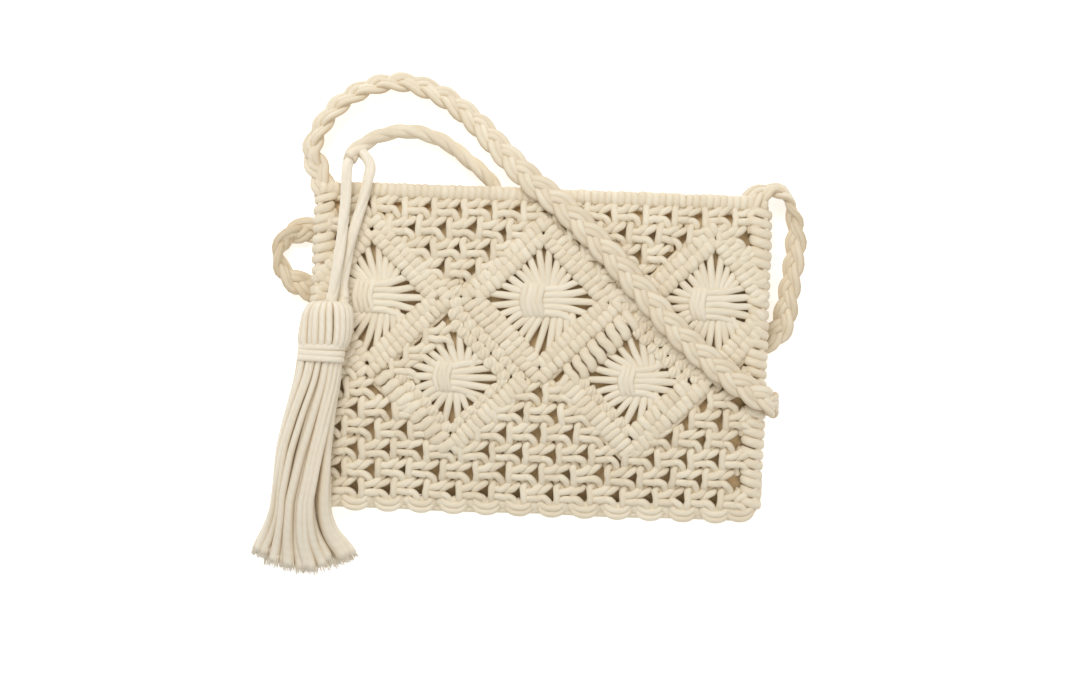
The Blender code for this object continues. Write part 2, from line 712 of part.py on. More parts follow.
def make_tassel_band():
    """The wound band round the tassel's waist."""
    rings = []
    top, foot = HEAD_TABLE[-1], SKIRT_TABLE[0]
    edges = [(top, BAND_END, 0.0), (top, BAND_END, 1.0),
             (foot, 1 - BAND_END, 1.0), (foot, 1 - BAND_END, 0.0)]
    for row, along, wall in edges:
        y = TASSEL_TOP_Y - TASSEL_HEAD_LENGTH - along * TASSEL_BAND_LENGTH
        grow = 2 * (SEAM_GAP + wall * TASSEL_BAND_WALL)
        x = top[1] + along * (foot[1] - top[1])
        z = top[2] + along * (foot[2] - top[2])
        width = row[3] * TASSEL_HEAD_WIDTH + grow
        thick = row[4] * TASSEL_HEAD_THICK + grow
        rings.append(tassel_ring(y, x, z, width, thick, 0.0))
    add_part("tassel_band", loft(rings + rings[:1], closed_ends=False), cotton("rope"))


def settle_origin():
    """Sets the origin under the middle of the bag and tassel, on the surface."""
    spots = []
    for part in parts.objects:
        if part.name in CORD_NAMES:
            continue
        spots += [part.matrix_world @ v.co for v in part.data.vertices]
    middle_x = (min(s.x for s in spots) + max(s.x for s in spots)) / 2
    middle_y = (min(s.y for s in spots) + max(s.y for s in spots)) / 2
    for part in parts.objects:
        part.location = (-middle_x, -middle_y, 0.0)


make_front_nets()
make_diamond_bars()
for diamond in diamond_table():
    make_star(diamond)
make_back_net()
make_rims()
make_edges()
make_lining()
make_strap()
make_cord("tassel_rope", ROPE_ROUTE, ROPE_THICK)
make_cord("hanger_left", LEFT_HANGER_ROUTE, HANGER_THICK)
make_cord("hanger_right", RIGHT_HANGER_ROUTE, HANGER_THICK)
make_tassel()
make_tassel_band()
bpy.context.view_layer.update()
settle_origin()
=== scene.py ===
"""Looks of the knotted cotton shoulder bag: every cord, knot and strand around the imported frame."""
import math

import bpy
import numpy as np
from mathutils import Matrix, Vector


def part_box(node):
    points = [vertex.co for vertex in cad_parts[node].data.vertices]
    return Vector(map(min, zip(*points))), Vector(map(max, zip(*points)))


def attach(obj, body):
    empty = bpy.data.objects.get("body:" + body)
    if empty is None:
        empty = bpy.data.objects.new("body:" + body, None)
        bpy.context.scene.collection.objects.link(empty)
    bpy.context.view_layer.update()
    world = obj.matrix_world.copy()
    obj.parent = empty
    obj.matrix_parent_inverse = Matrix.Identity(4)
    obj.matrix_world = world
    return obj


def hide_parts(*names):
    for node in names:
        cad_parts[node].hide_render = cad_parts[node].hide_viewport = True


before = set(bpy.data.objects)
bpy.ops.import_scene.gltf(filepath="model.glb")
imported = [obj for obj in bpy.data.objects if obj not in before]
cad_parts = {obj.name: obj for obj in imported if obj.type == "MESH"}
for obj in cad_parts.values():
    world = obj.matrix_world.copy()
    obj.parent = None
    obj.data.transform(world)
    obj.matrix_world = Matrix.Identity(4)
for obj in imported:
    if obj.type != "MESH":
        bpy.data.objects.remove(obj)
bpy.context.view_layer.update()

MM = 0.001

# Where the middle of the bag lies in the frame
MIDDLE_X = (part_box("side_edge_left")[0].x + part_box("side_edge_right")[1].x) / 2
MIDDLE_Y = (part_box("bottom_edge")[0].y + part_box("rim_back")[1].y) / 2
TO_FRAME = np.array([MIDDLE_X, MIDDLE_Y, 0.0])

# Sizes of the bag, as the part has them, in metres
BAG_HEIGHT = 0.198
HALF_WIDTH = 0.140
NET_THICK = 0.006
LINING_THICK = 0.0012
LINING_GAP = 0.0006
HOLLOW_DEPTH = 0.009
HOLLOW_EDGE = 0.003
STRAP_LIFT = 0.0081
LIFT_TABLE = [(-0.50, 0), (-0.42, 0), (-0.19, 1), (0.40, 1), (0.49, 0), (0.50, 0)]
FILL_TABLE = [(-0.50, 0), (-0.46, 0), (-0.28, 0.70), (-0.10, 1.0), (0.40, 1.0), (0.49, 1.5), (0.50, 1.5)]
SIDE_TABLE = [(0, 1), (0.45, 1), (0.72, 0.70), (0.95, 0), (1, 0)]

# Knots: rows down the bag, and the step along a row in its upper and lower part
ROW_TOP = 84.3
ROW_STEP = 12.27
ROW_COUNT = 15
UPPER_ROWS = 6
UPPER_PITCH = 18.2
UPPER_START = 13.4
LOWER_PITCH = 20.0
LOWER_START = 1.4
KNOT_LEFT_LIMIT = -130.0
KNOT_RIGHT_LIMIT = 127.0
KNOT_STEPS = 9
# How high the tops of the knots stand on their face, and how deep the painted shade between them goes, in mm
FRONT_TOP = 4.9
FRONT_DEPTH = 4.6
BACK_TOP = 4.6
BACK_DEPTH = 4.4
# No place of a cord goes lower than this
FLOOR_GAP = 0.0002
# How many fine steps a span of a route has
ROUTE_STEPS = 24

# Diamonds: middle x and y, and how far the opening reaches to the left, the right and up or down, in mm
LEFT_DIAMOND = (-103.0, 29.5, 27.0, 34.5, 34.5)
CENTRE_DIAMOND = (1.0, 30.5, 34.5, 34.5, 34.5)
RIGHT_DIAMOND = (105.4, 31.5, 34.5, 27.5, 34.5)
LOW_LEFT_DIAMOND = (-51.6, -17.7, 28.0, 28.0, 28.0)
LOW_RIGHT_DIAMOND = (57.8, -16.3, 28.0, 28.0, 28.0)
UPPER_DIAMONDS = [LEFT_DIAMOND, CENTRE_DIAMOND, RIGHT_DIAMOND]
LOWER_DIAMONDS = [LOW_LEFT_DIAMOND, LOW_RIGHT_DIAMOND]
UPPER_CLEARANCE = 48.5
LOWER_CLEARANCE = 46.5
LARGE_DIAMOND = 30
# Knots listed one by one along the upper left side of the low left diamond
HAND_SET_KNOTS = [(-61.5, 7.0), (-73.0, -4.4), (-82.0, -13.5)]
# Round knots in two columns between the upper diamonds
LINK_KNOTS = [(-51.0, 34.6), (-51.2, 27.6), (-50.8, 20.6), (53.2, 35.6), (53.4, 28.6), (53.4, 21.6)]
LINK_SIZE = 1.15
BAR_LIMIT_X = 134.5
BAR_LIMIT_Y = 86.5

# The braided strap: middle of the braid, the way its face looks, and its share of the full thickness
STRAP_ROUTE = [
    (-0.1330, 0.0900, 0.0195, -0.2, 0.1, 1.0, 0.8), (-0.1352, 0.0975, 0.0180, -0.4, 0.1, 0.9, 0.8),
    (-0.1372, 0.1038, 0.0150, -0.6, 0.2, 0.8, 0.9), (-0.1432, 0.1166, 0.0110, -0.7, 0.2, 0.7, 1),
    (-0.1399, 0.1288, 0.0095, -0.7, 0.4, 0.7, 1), (-0.1284, 0.1456, 0.0092, -0.5, 0.6, 0.7, 1),
    (-0.1106, 0.1575, 0.0092, -0.2, 0.8, 0.7, 1), (-0.0896, 0.1617, 0.0094, 0.1, 0.8, 0.7, 1),
    (-0.0681, 0.1558, 0.0105, 0.4, 0.6, 0.8, 1), (-0.0464, 0.1412, 0.0150, 0.4, 0.5, 1.0, 1),
    (-0.0275, 0.1219, 0.0250, 0.2, 0.3, 1.0, 1), (-0.0086, 0.1032, 0.0330, 0, 0.1, 1, 1),
    (0.0101, 0.0887, 0.0365, 0, 0, 1, 1), (0.0351, 0.0654, 0.0390, 0, 0, 1, 1),
    (0.0603, 0.0390, 0.0390, 0, 0, 1, 1), (0.0855, 0.0126, 0.0386, 0, 0, 1, 1),
    (0.1105, -0.0077, 0.0362, 0.05, 0, 1, 1), (0.1300, -0.0205, 0.0340, 0.15, 0, 1, 1),
    (0.1395, -0.0255, 0.0320, 0.5, 0, 0.85, 0.9), (0.1440, -0.0275, 0.0262, 0.95, 0, 0.3, 0.8),
    (0.1448, -0.0280, 0.0170, 1, 0, 0, 0.8), (0.1442, -0.0280, 0.0085, 0.9, 0, -0.4, 0.8),
    (0.1410, -0.0275, 0.0041, 0.25, 0, -0.97, 0.8), (0.1340, -0.0262, 0.0039, 0, 0, -1, 0.95),
    (0.0900, -0.0170, 0.00405, 0, 0, -1, 1), (0.0, 0.0025, 0.00405, 0, 0, -1, 1),
    (-0.1000, 0.0240, 0.00405, 0, 0, -1, 1), (-0.1407, 0.0330, 0.00405, 0, 0, -1, 1),
    (-0.1549, 0.0400, 0.0085, -0.5, -0.5, -0.65, 1), (-0.1618, 0.0530, 0.0095, -1, 0, -0.1, 1),
    (-0.1555, 0.0655, 0.0085, -0.5, 0.6, -0.6, 1), (-0.1420, 0.0693, 0.00405, 0, 0, -1, 1),
    (-0.1000, 0.0605, 0.00405, 0, 0, -1, 1), (0.0, 0.0390, 0.00405, 0, 0, -1, 1),
    (0.0950, 0.0180, 0.00405, 0, 0, -1, 1), (0.1330, 0.0098, 0.00405, 0, 0, -1, 1),
    (0.1425, 0.0125, 0.00405, 0, 0, -1, 0.95), (0.1495, 0.0215, 0.0064, 0.35, -0.15, -0.9, 1),
    (0.1515, 0.0340, 0.0086, 0.6, 0, -0.7, 1), (0.1535, 0.0500, 0.0094, 0.75, 0, -0.6, 1),
    (0.1555, 0.0720, 0.0096, 0.75, 0, -0.6, 1), (0.1530, 0.0900, 0.0105, 0.85, 0.3, -0.2, 1),
    (0.1470, 0.1015, 0.0125, 0.5, 0.75, 0.3, 1), (0.1360, 0.1032, 0.0150, 0, 0.9, 0.4, 0.85),
    (0.1290, 0.0985, 0.0185, -0.1, 0.7, 0.7, 0.7), (0.1235, 0.0935, 0.0200, -0.1, 0.5, 0.9, 0.55),
]
BRAID_PITCH = 0.0427
BRAID_REACH = 0.0042
BRAID_RISE = 0.0017
BRAID_PAIR = 0.0017
BRAID_CORD = 0.0025
BRAID_FLAT = 0.76
# How much painted shade darkens the sides of each braid cord where the cords meet
BRAID_PAINTED_SHADE = 0.65
STRAP_STEP = 0.0027

# The twisted rope out of the mouth, and the two smooth strands that carry the tassel
ROPE_ROUTE = [
    (-0.0267, 0.0925, 0.0136), (-0.0330, 0.1030, 0.0134), (-0.0454, 0.1140, 0.0115),
    (-0.0641, 0.1268, 0.0100), (-0.0824, 0.1315, 0.0102), (-0.1005, 0.1281, 0.0145),
    (-0.1110, 0.1215, 0.0210), (-0.1165, 0.1160, 0.0265), (-0.1185, 0.1120, 0.0300),
]
LEFT_HANGER_ROUTE = [
    (-0.1189, 0.1107, 0.0311), (-0.1196, 0.1050, 0.0345), (-0.1194, 0.0970, 0.0360),
    (-0.1191, 0.0889, 0.0365), (-0.1205, 0.0700, 0.0385), (-0.1222, 0.0470, 0.0412),
    (-0.1243, 0.0330, 0.0412), (-0.1258, 0.0247, 0.0405),
]
RIGHT_HANGER_ROUTE = [
    (-0.1120, 0.1172, 0.0245), (-0.1090, 0.1140, 0.0268), (-0.1058, 0.1085, 0.0290),
    (-0.1067, 0.0985, 0.0315), (-0.1090, 0.0880, 0.0330), (-0.1125, 0.0740, 0.0352),
    (-0.1180, 0.0470, 0.0352), (-0.1192, 0.0340, 0.0350), (-0.1180, 0.0270, 0.0355),
]
ROPE_WIDTH = 0.0094
ROPE_STRAND = 0.0029
ROPE_TWIST = 0.042
HANGER_WIDTH = 0.0068
HANGER_STRAND = 0.0024
HANGER_TWIST = 0.110
ROPE_STEP = 0.0015
HANGER_STEP = 0.0016

# The tassel, and the middle of its head: share of the way down, then x and z
TASSEL_TOP_Y = 0.0240
TASSEL_HEAD_LENGTH = 0.0245
TASSEL_BAND_LENGTH = 0.0105
TASSEL_SKIRT_LENGTH = 0.128
TASSEL_HALF_WIDE = 0.0145
TASSEL_HALF_THICK = 0.0100
HEAD_TABLE = [
    (0, -0.1262, 0.0405), (0.08, -0.1264, 0.0405), (0.30, -0.1272, 0.0405),
    (0.60, -0.1280, 0.0405), (0.85, -0.1290, 0.0403), (1, -0.1298, 0.0400),
]
# The head's ribs: share of the way down, and how far out they lie against the head's half width
HEAD_LOOK = [(0, 0.25), (0.03, 0.66), (0.12, 0.86), (0.30, 0.97), (0.60, 1.0), (0.85, 0.98), (1, 0.88)]
# The skirt: share of the way down, then x and z of its middle, half width and half thickness, in mm
SKIRT_TABLE = [
    (0, -130.9, 39.8, 13.4, 9.0), (0.14, -132.0, 37.8, 14.0, 9.2), (0.30, -136.2, 35.4, 15.3, 9.4),
    (0.48, -139.6, 31.0, 16.8, 9.4), (0.63, -140.4, 27.2, 17.4, 9.2), (0.79, -141.2, 21.0, 18.6, 9.0),
    (0.887, -141.4, 14.6, 22.8, 8.6), (0.95, -139.8, 11.0, 28.4, 8.0), (1, -138.6, 9.6, 33.4, 7.4),
]
SKIRT_TURN = math.radians(42)
SKIRT_LAYERS = ((21, 1.0), (14, 0.66), (8, 0.34))
LOCK_OVERLAP = 1.12
LOCK_LIMIT = 3.3
HEAD_GROW = 1.10
HEAD_RIB = 2.2
HEAD_RIBS = 21
HEAD_LEAN = 0.25
BAND_TURNS = 3
BAND_SHARE = 0.86
BAND_STAND = 0.0009
NECK_CORDS = [
    [(-0.1252, 0.0300, 0.0408), (-0.1258, 0.0240, 0.0406), (-0.1264, 0.0170, 0.0402)],
    [(-0.1190, 0.0335, 0.0350), (-0.1183, 0.0268, 0.0357), (-0.1194, 0.0200, 0.0375),
     (-0.1215, 0.0140, 0.0390)],
]


# The faces of the bag, in its own coordinates
def from_table(table, share):
    """The value of a table of shares and values, between its rows."""
    shares, values = zip(*table)
    return np.interp(share, shares, values)


def lift(y):
    """How far the strap that runs under the bag lifts it."""
    return STRAP_LIFT * from_table(LIFT_TABLE, y / BAG_HEIGHT)


def hollow(x, y):
    """How far the pouch stands open."""
    fill = from_table(FILL_TABLE, y / BAG_HEIGHT) * from_table(SIDE_TABLE, np.abs(x) / HALF_WIDTH)
    return HOLLOW_EDGE + (HOLLOW_DEPTH - HOLLOW_EDGE) * fill


def lining_low(y):
    """The underside of the pouch, on the back net."""
    return lift(y) + NET_THICK + LINING_GAP


def lining_high(x, y):
    """The upper side of the pouch, over its hollow."""
    return lining_low(y) + 2 * LINING_THICK + hollow(x, y)


def front_face(x, y):
    """The front net's underside."""
    return lining_high(x, y) + LINING_GAP


def back_face(x, y):
    """The back net's upper side, against the lining."""
    return lift(y) + NET_THICK + 0 * x


# Cords: paths, tubes along them, and the mesh that gathers them
def unit(vectors):
    return vectors / np.maximum(np.linalg.norm(vectors, axis=-1, keepdims=True), 1e-12)


def spline(controls, steps):
    """A smooth curve through the points of many cords at once."""
    controls = np.asarray(controls, float)
    if controls.ndim == 2:
        controls = controls[None]
    first = 2 * controls[:, :1] - controls[:, 1:2]
    last = 2 * controls[:, -1:] - controls[:, -2:-1]
    points = np.concatenate([first, controls, last], axis=1)
    spans = points.shape[1] - 3
    a, b, c, d = (points[:, i:i + spans, None, :] for i in range(4))
    t = np.arange(steps)[None, None, :, None] / steps
    curve = 0.5 * (2 * b + (c - a) * t + (2 * a - 5 * b + 4 * c - d) * t ** 2
                   + (3 * b - a - 3 * c + d) * t ** 3)
    curve = curve.reshape(len(controls), -1, controls.shape[2])
    return np.concatenate([curve, controls[:, -1:]], axis=1)


def even_route(rows, spacing):
    """A smooth route through the rows, with points an even step apart.
    What a row holds after its place goes along."""
    rows = np.array(rows, float)
    spans = np.linalg.norm(np.diff(rows[:, :3], axis=0), axis=1)[:, None]
    slopes = np.diff(rows, axis=0) / spans
    inner = (slopes[:-1] * spans[1:] + slopes[1:] * spans[:-1]) / (spans[:-1] + spans[1:])
    bends = np.concatenate([slopes[:1], inner, slopes[-1:]])
    t = (np.arange(ROUTE_STEPS) / ROUTE_STEPS)[None, :, None]
    start, end = rows[:-1, None], rows[1:, None]
    leave, arrive = (bends[:-1] * spans)[:, None], (bends[1:] * spans)[:, None]
    fine = (start * (1 + 2 * t) * (1 - t) ** 2 + leave * t * (1 - t) ** 2
            + end * t * t * (3 - 2 * t) + arrive * t * t * (t - 1)).reshape(-1, rows.shape[1])
    fine = np.concatenate([fine, rows[-1:]])
    steps = np.linalg.norm(np.diff(fine[:, :3], axis=0), axis=1)
    along = np.concatenate([[0], np.cumsum(steps)])
    count = max(4, int(round(along[-1] / spacing)) + 1)
    places = np.linspace(0, along[-1], count)
    return np.stack([np.interp(places, along, fine[:, k]) for k in range(fine.shape[1])], axis=1), places


def frames_along(paths, closed=False):
    """Directions along each path, and two across it that don't twist on the way."""
    if closed:
        tangents = unit(np.roll(paths, -1, axis=1) - np.roll(paths, 1, axis=1))
    else:
        tangents = unit(np.gradient(paths, axis=1))
    upright = np.abs(tangents[:, 0, 2]) > 0.8
    normal = np.where(upright[:, None], [1.0, 0.0, 0.0], [0.0, 0.0, 1.0])
    normals = np.empty_like(paths)
    for k in range(paths.shape[1]):
        tangent = tangents[:, k]
        normal = unit(normal - (normal * tangent).sum(-1, keepdims=True) * tangent)
        normals[:, k] = normal
    return tangents, normals, np.cross(tangents, normals)


class Bundle:
    """Cords of one piece, gathered into one mesh."""

    def __init__(self, name, seed):
        self.name = name
        self.random = np.random.default_rng(seed)
        self.places = []
        self.faces = []
        self.uvs = []
        self.shades = []
        self.painted_shades = []
        self.count = 0

    def add(self, paths, radius, sides=8, closed=False, wide=None, flat=1.0, crease=0.0):
        """Tubes along paths (cords, points, 3), in metres. The radius is in mm, for all or for each point.
        A flat tube has its full radius along wide, and that share of it the other way.
        A share of painted shade darkens both sides, where the tube meets its neighbours."""
        paths = np.asarray(paths, float)
        if paths.ndim == 2:
            paths = paths[None]
        cords, points = paths.shape[:2]
        tangents, normals, binormals = frames_along(paths, closed)
        if wide is not None:
            wide = np.broadcast_to(np.asarray(wide, float), paths.shape)
            normals = unit(wide - (wide * tangents).sum(-1, keepdims=True) * tangents)
            binormals = np.cross(tangents, normals) * flat
        radius = np.broadcast_to(np.asarray(radius, float) * MM, (cords, points))[:, :, None, None]
        angle = 2 * np.pi * np.arange(sides) / sides
        ring = (normals[:, :, None] * np.cos(angle)[:, None] + binormals[:, :, None] * np.sin(angle)[:, None])
        self.places.append((paths[:, :, None] + radius * ring).reshape(-1, 3))
        # Painted shade: the two sides of the tube, where it meets its neighbours, get darker
        painted_side_shade = crease * np.abs(np.cos(angle)) ** 4
        self.painted_shades.append(np.broadcast_to(painted_side_shade, (cords, points, sides)).ravel())
        shade = self.random.random((cords, 1, 1))
        self.shades.append(np.broadcast_to(shade, (cords, points, sides)).ravel())

        index = np.arange(cords * points * sides).reshape(cords, points, sides) + self.count
        self.count += index.size
        follow = np.roll(index, -1, axis=1) if closed else index[:, 1:]
        here = index if closed else index[:, :-1]
        quads = np.stack([here, np.roll(here, -1, axis=2), np.roll(follow, -1, axis=2), follow], axis=-1)
        steps = np.linalg.norm(np.diff(paths, axis=1), axis=-1)
        along = np.concatenate([np.zeros((cords, 1)), np.cumsum(steps, axis=1)], axis=1)
        starts, ends = along[:, :-1], along[:, 1:]
        if closed:
            starts = along
            ends = np.concatenate([ends, along[:, -1:] + steps[:, :1]], axis=1)
        low = np.broadcast_to(starts[:, :, None], quads.shape[:3])
        high = np.broadcast_to(ends[:, :, None], quads.shape[:3])
        turn = np.broadcast_to(np.arange(sides) / sides, quads.shape[:3])
        on = turn + 1 / sides
        uv = np.stack([np.stack([low, low, high, high], -1), np.stack([turn, on, on, turn], -1)], -1)
        self.faces.append(quads.reshape(-1, 4))
        self.uvs.append(uv.reshape(-1, 2))
        if not closed:
            caps = np.concatenate([index[:, 0, ::-1], index[:, -1]])
            self.faces.append(caps)
            self.uvs.append(np.zeros((caps.size, 2)))

    def build(self, look, stands_for=(), painted_recess_shade=None):
        """The mesh of all cords, riding on the bag.
        A given shade function says how deep a place lies between its neighbours, and that depth darkens it as
        painted shade."""
        mesh = bpy.data.meshes.new(self.name)
        places = np.concatenate(self.places) + TO_FRAME
        places[:, 2] = np.maximum(places[:, 2], FLOOR_GAP)
        painted_shades = np.concatenate(self.painted_shades)
        # Painted shade: places that lie deep between their neighbours get the shade colour
        if painted_recess_shade is not None:
            painted_shades = np.maximum(painted_shades, painted_recess_shade(*(places - TO_FRAME).T))
        corners = np.concatenate([faces.ravel() for faces in self.faces])
        sizes = np.concatenate([np.full(len(faces), faces.shape[1]) for faces in self.faces])
        starts = np.concatenate([[0], np.cumsum(sizes)[:-1]])
        mesh.vertices.add(len(places))
        mesh.vertices.foreach_set("co", places.astype(np.float32).ravel())
        mesh.loops.add(len(corners))
        mesh.loops.foreach_set("vertex_index", corners.astype(np.int32))
        mesh.polygons.add(len(sizes))
        mesh.polygons.foreach_set("loop_start", starts.astype(np.int32))
        mesh.update(calc_edges=True)
        layer = mesh.uv_layers.new(name="along_and_round")
        layer.data.foreach_set("uv", np.concatenate(self.uvs).astype(np.float32).ravel())
        shade = mesh.attributes.new("shade", "FLOAT", "POINT")
        shade.data.foreach_set("value", np.concatenate(self.shades).astype(np.float32))
        crease = mesh.attributes.new("crease", "FLOAT", "POINT")
        crease.data.foreach_set("value", painted_shades.astype(np.float32))
        mesh.shade_smooth()
        return place_piece(self.name, mesh, look, stands_for)


def place_piece(name, mesh, look, stands_for):
    """A finished mesh as a piece that rides on the bag, in place of the parts it stands for."""
    piece = bpy.data.objects.new(name, mesh)
    bpy.context.scene.collection.objects.link(piece)
    mesh.materials.append(look)
    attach(piece, "root")
    if stands_for:
        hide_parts(*stands_for)
    return piece


def laid(shape, centres, turns, face, way=1, jitter=None):
    """Copies of a flat-drawn shape in mm, each turned and moved, and standing on a face of the bag."""
    shape = np.asarray(shape, float)[None]
    if jitter is not None:
        shape = shape + jitter
    centres = np.asarray(centres, float)
    turns = np.asarray(turns, float)[:, None]
    x = centres[:, :1] + shape[:, :, 0] * way * np.cos(turns) - shape[:, :, 1] * np.sin(turns)
    y = centres[:, 1:] + shape[:, :, 0] * way * np.sin(turns) + shape[:, :, 1] * np.cos(turns)
    z = face(x * MM, y * MM) / MM + way * shape[:, :, 2]
    return np.stack([x, y, z], axis=-1) * MM


def painted_shade_in_front(x, y, z):
    """How deep a place of the front lies under the tops of its knots, from 0 to 1, as the share of painted
    shade there.
    """
    return np.clip((FRONT_TOP - (z - front_face(x, y)) / MM) / FRONT_DEPTH, 0, 1)


def painted_shade_in_back(x, y, z):
    """The same painted shade for the back, whose knots point down."""
    return np.clip((BACK_TOP - (back_face(x, y) - z) / MM) / BACK_DEPTH, 0, 1)


# Shaders
FIBRE_SCALE = 900.0
FIBRES_ACROSS = 9.0
FIBRE_SEEDS = 60.0
PLY_HEIGHT = 0.55
# Painted shade: how much darker the grooves between the plies are than their ridges
PLY_PAINTED_SHADE = 0.18
CORD_TONE = 0.45
PATCH_SCALE = 55.0
COTTON_DEPTH = 0.45
CLOTH_DEPTH = 0.4
WEAVE_SCALE = 330.0
# The cottons: name, deep, pale and painted shade colours, then twist along a cord and plies round it
NET_COTTON = ("net cotton", (0.74, 0.63, 0.455), (0.88, 0.795, 0.63), (0.66, 0.50, 0.29), 130.0, 3.0)
STAR_COTTON = ("star cotton", (0.77, 0.675, 0.51), (0.88, 0.80, 0.645), (0.60, 0.45, 0.26), 90.0, 3.0)
BRAID_COTTON = ("braid cotton", (0.73, 0.62, 0.45), (0.86, 0.775, 0.61), (0.58, 0.43, 0.25), 70.0, 3.0)
TASSEL_COTTON = ("tassel cotton", (0.79, 0.70, 0.54), (0.89, 0.815, 0.675), (0.64, 0.49, 0.30), 160.0, 2.0)
POUCH_CLOTH = ("pouch cloth", (0.76, 0.54, 0.28), (0.88, 0.67, 0.38))
FLOOR_GREYS = ((0.94, 0.94, 0.94), (0.96, 0.96, 0.96))


def node(tree, kind, **values):
    """A new shader node with its settings."""
    made = tree.nodes.new(kind)
    for name, value in values.items():
        setattr(made, name, value)
    return made


def calculate(tree, operation, *sources, clamp=False):
    """A sum on plain values or on what other nodes give."""
    made = node(tree, "ShaderNodeMath", operation=operation, use_clamp=clamp)
    for source, socket in zip(sources, made.inputs):
        if isinstance(source, bpy.types.NodeSocket):
            tree.links.new(source, socket)
        else:
            socket.default_value = source
    return made.outputs[0]


def noise(tree, place, scale, detail=2.0):
    """Soft random values over a place."""
    made = node(tree, "ShaderNodeTexNoise")
    made.inputs["Scale"].default_value = scale
    made.inputs["Detail"].default_value = detail
    tree.links.new(place, made.inputs["Vector"])
    return made.outputs["Fac"]


def two_tones(tree, tone, deep, pale):
    """A colour between a deep and a pale one."""
    ramp = node(tree, "ShaderNodeValToRGB")
    ramp.color_ramp.elements[0].color = (*deep, 1)
    ramp.color_ramp.elements[1].color = (*pale, 1)
    tree.links.new(tone, ramp.inputs[0])
    return ramp.outputs["Color"]


def raise_surface(tree, shader, height, strength, distance):
    """Fine relief on a material."""
    bump = node(tree, "ShaderNodeBump")
    bump.inputs["Strength"].default_value = strength
    bump.inputs["Distance"].default_value = distance
    tree.links.new(height, bump.inputs["Height"])
    tree.links.new(bump.outputs["Normal"], shader.inputs["Normal"])


def cotton_group():
    """Fine twist and fibres along a cord, soft changes of tone over the piece, painted shade in the grooves
    between plies, and the mask of painted shade between cords.
    """
    tree = bpy.data.node_groups.new("cotton fibres", "ShaderNodeTree")
    for name in ("Twist", "Plies"):
        tree.interface.new_socket(name=name, in_out="INPUT", socket_type="NodeSocketFloat")
    for name in ("Height", "Tone", "Painted_Shade"):
        tree.interface.new_socket(name=name, in_out="OUTPUT", socket_type="NodeSocketFloat")
    inputs = node(tree, "NodeGroupInput")
    outputs = node(tree, "NodeGroupOutput")
    uv = node(tree, "ShaderNodeUVMap", uv_map="along_and_round")
    split = node(tree, "ShaderNodeSeparateXYZ")
    tree.links.new(uv.outputs["UV"], split.inputs[0])
    along, around = split.outputs["X"], split.outputs["Y"]
    shade = node(tree, "ShaderNodeAttribute", attribute_name="shade").outputs["Fac"]
    # The mask of painted shade between cords and in hollows
    crease = node(tree, "ShaderNodeAttribute", attribute_name="crease").outputs["Fac"]

    # Plies wind round the cord as ridges
    wound = calculate(tree, "MULTIPLY", along, inputs.outputs["Twist"])
    turned = calculate(tree, "MULTIPLY", around, inputs.outputs["Plies"])
    phase = calculate(tree, "ADD", wound, turned)
    wave = calculate(tree, "SINE", calculate(tree, "MULTIPLY", phase, math.pi))
    ridge = calculate(tree, "ABSOLUTE", wave)

    # Fibres run with the plies, and are others in each cord
    spot = node(tree, "ShaderNodeCombineXYZ")
    tree.links.new(calculate(tree, "MULTIPLY", along, FIBRE_SCALE), spot.inputs[0])
    tree.links.new(calculate(tree, "MULTIPLY_ADD", phase, FIBRES_ACROSS, shade), spot.inputs[1])
    tree.links.new(calculate(tree, "MULTIPLY", shade, FIBRE_SEEDS), spot.inputs[2])
    fibres = noise(tree, spot.outputs[0], 1.0, 3.0)
    height = calculate(tree, "MULTIPLY_ADD", ridge, PLY_HEIGHT, fibres)

    # The tone changes from cord to cord and in soft patches, and painted shade darkens the grooves between
    # the ridges
    where = node(tree, "ShaderNodeTexCoord").outputs["Object"]
    patches = calculate(tree, "MULTIPLY_ADD", noise(tree, where, PATCH_SCALE), 0.75, -0.15)
    cords = calculate(tree, "MULTIPLY_ADD", shade, CORD_TONE, patches)
    tone = calculate(tree, "MULTIPLY_ADD", ridge, PLY_PAINTED_SHADE, cords, clamp=True)

    for name, value in (("Height", height), ("Tone", tone), ("Painted_Shade", crease)):
        tree.links.new(value, outputs.inputs[name])
    return tree


def blank_material(name):
    """A new material, its nodes and its shader."""
    look = bpy.data.materials.new(name)
    look.use_nodes = True
    tree = look.node_tree
    shader = tree.nodes["Principled BSDF"]
    return look, tree, shader


def cotton_material(fibres, name, deep, pale, crease, twist, plies):
    """Soft cotton cord: the tone goes from a deep to a pale cream, and painted shade darkens it between cords
    and in hollows.
    """
    look, tree, shader = blank_material(name)
    group = node(tree, "ShaderNodeGroup", node_tree=fibres)
    group.inputs["Twist"].default_value = twist
    group.inputs["Plies"].default_value = plies
    # Painted shade: the mask mixes in the shade colour between cords and in hollows
    mix = node(tree, "ShaderNodeMix", data_type="RGBA")
    tree.links.new(group.outputs["Painted_Shade"], mix.inputs[0])
    tree.links.new(two_tones(tree, group.outputs["Tone"], deep, pale), mix.inputs[6])
    mix.inputs[7].default_value = (*crease, 1)
    tree.links.new(mix.outputs[2], shader.inputs["Base Color"])
    raise_surface(tree, shader, group.outputs["Height"], COTTON_DEPTH, 0.0004)
    shader.inputs["Roughness"].default_value = 0.85
    shader.inputs["Specular IOR Level"].default_value = 0.2
    shader.inputs["Sheen Weight"].default_value = 0.15
    shader.inputs["Sheen Roughness"].default_value = 0.6
    return look


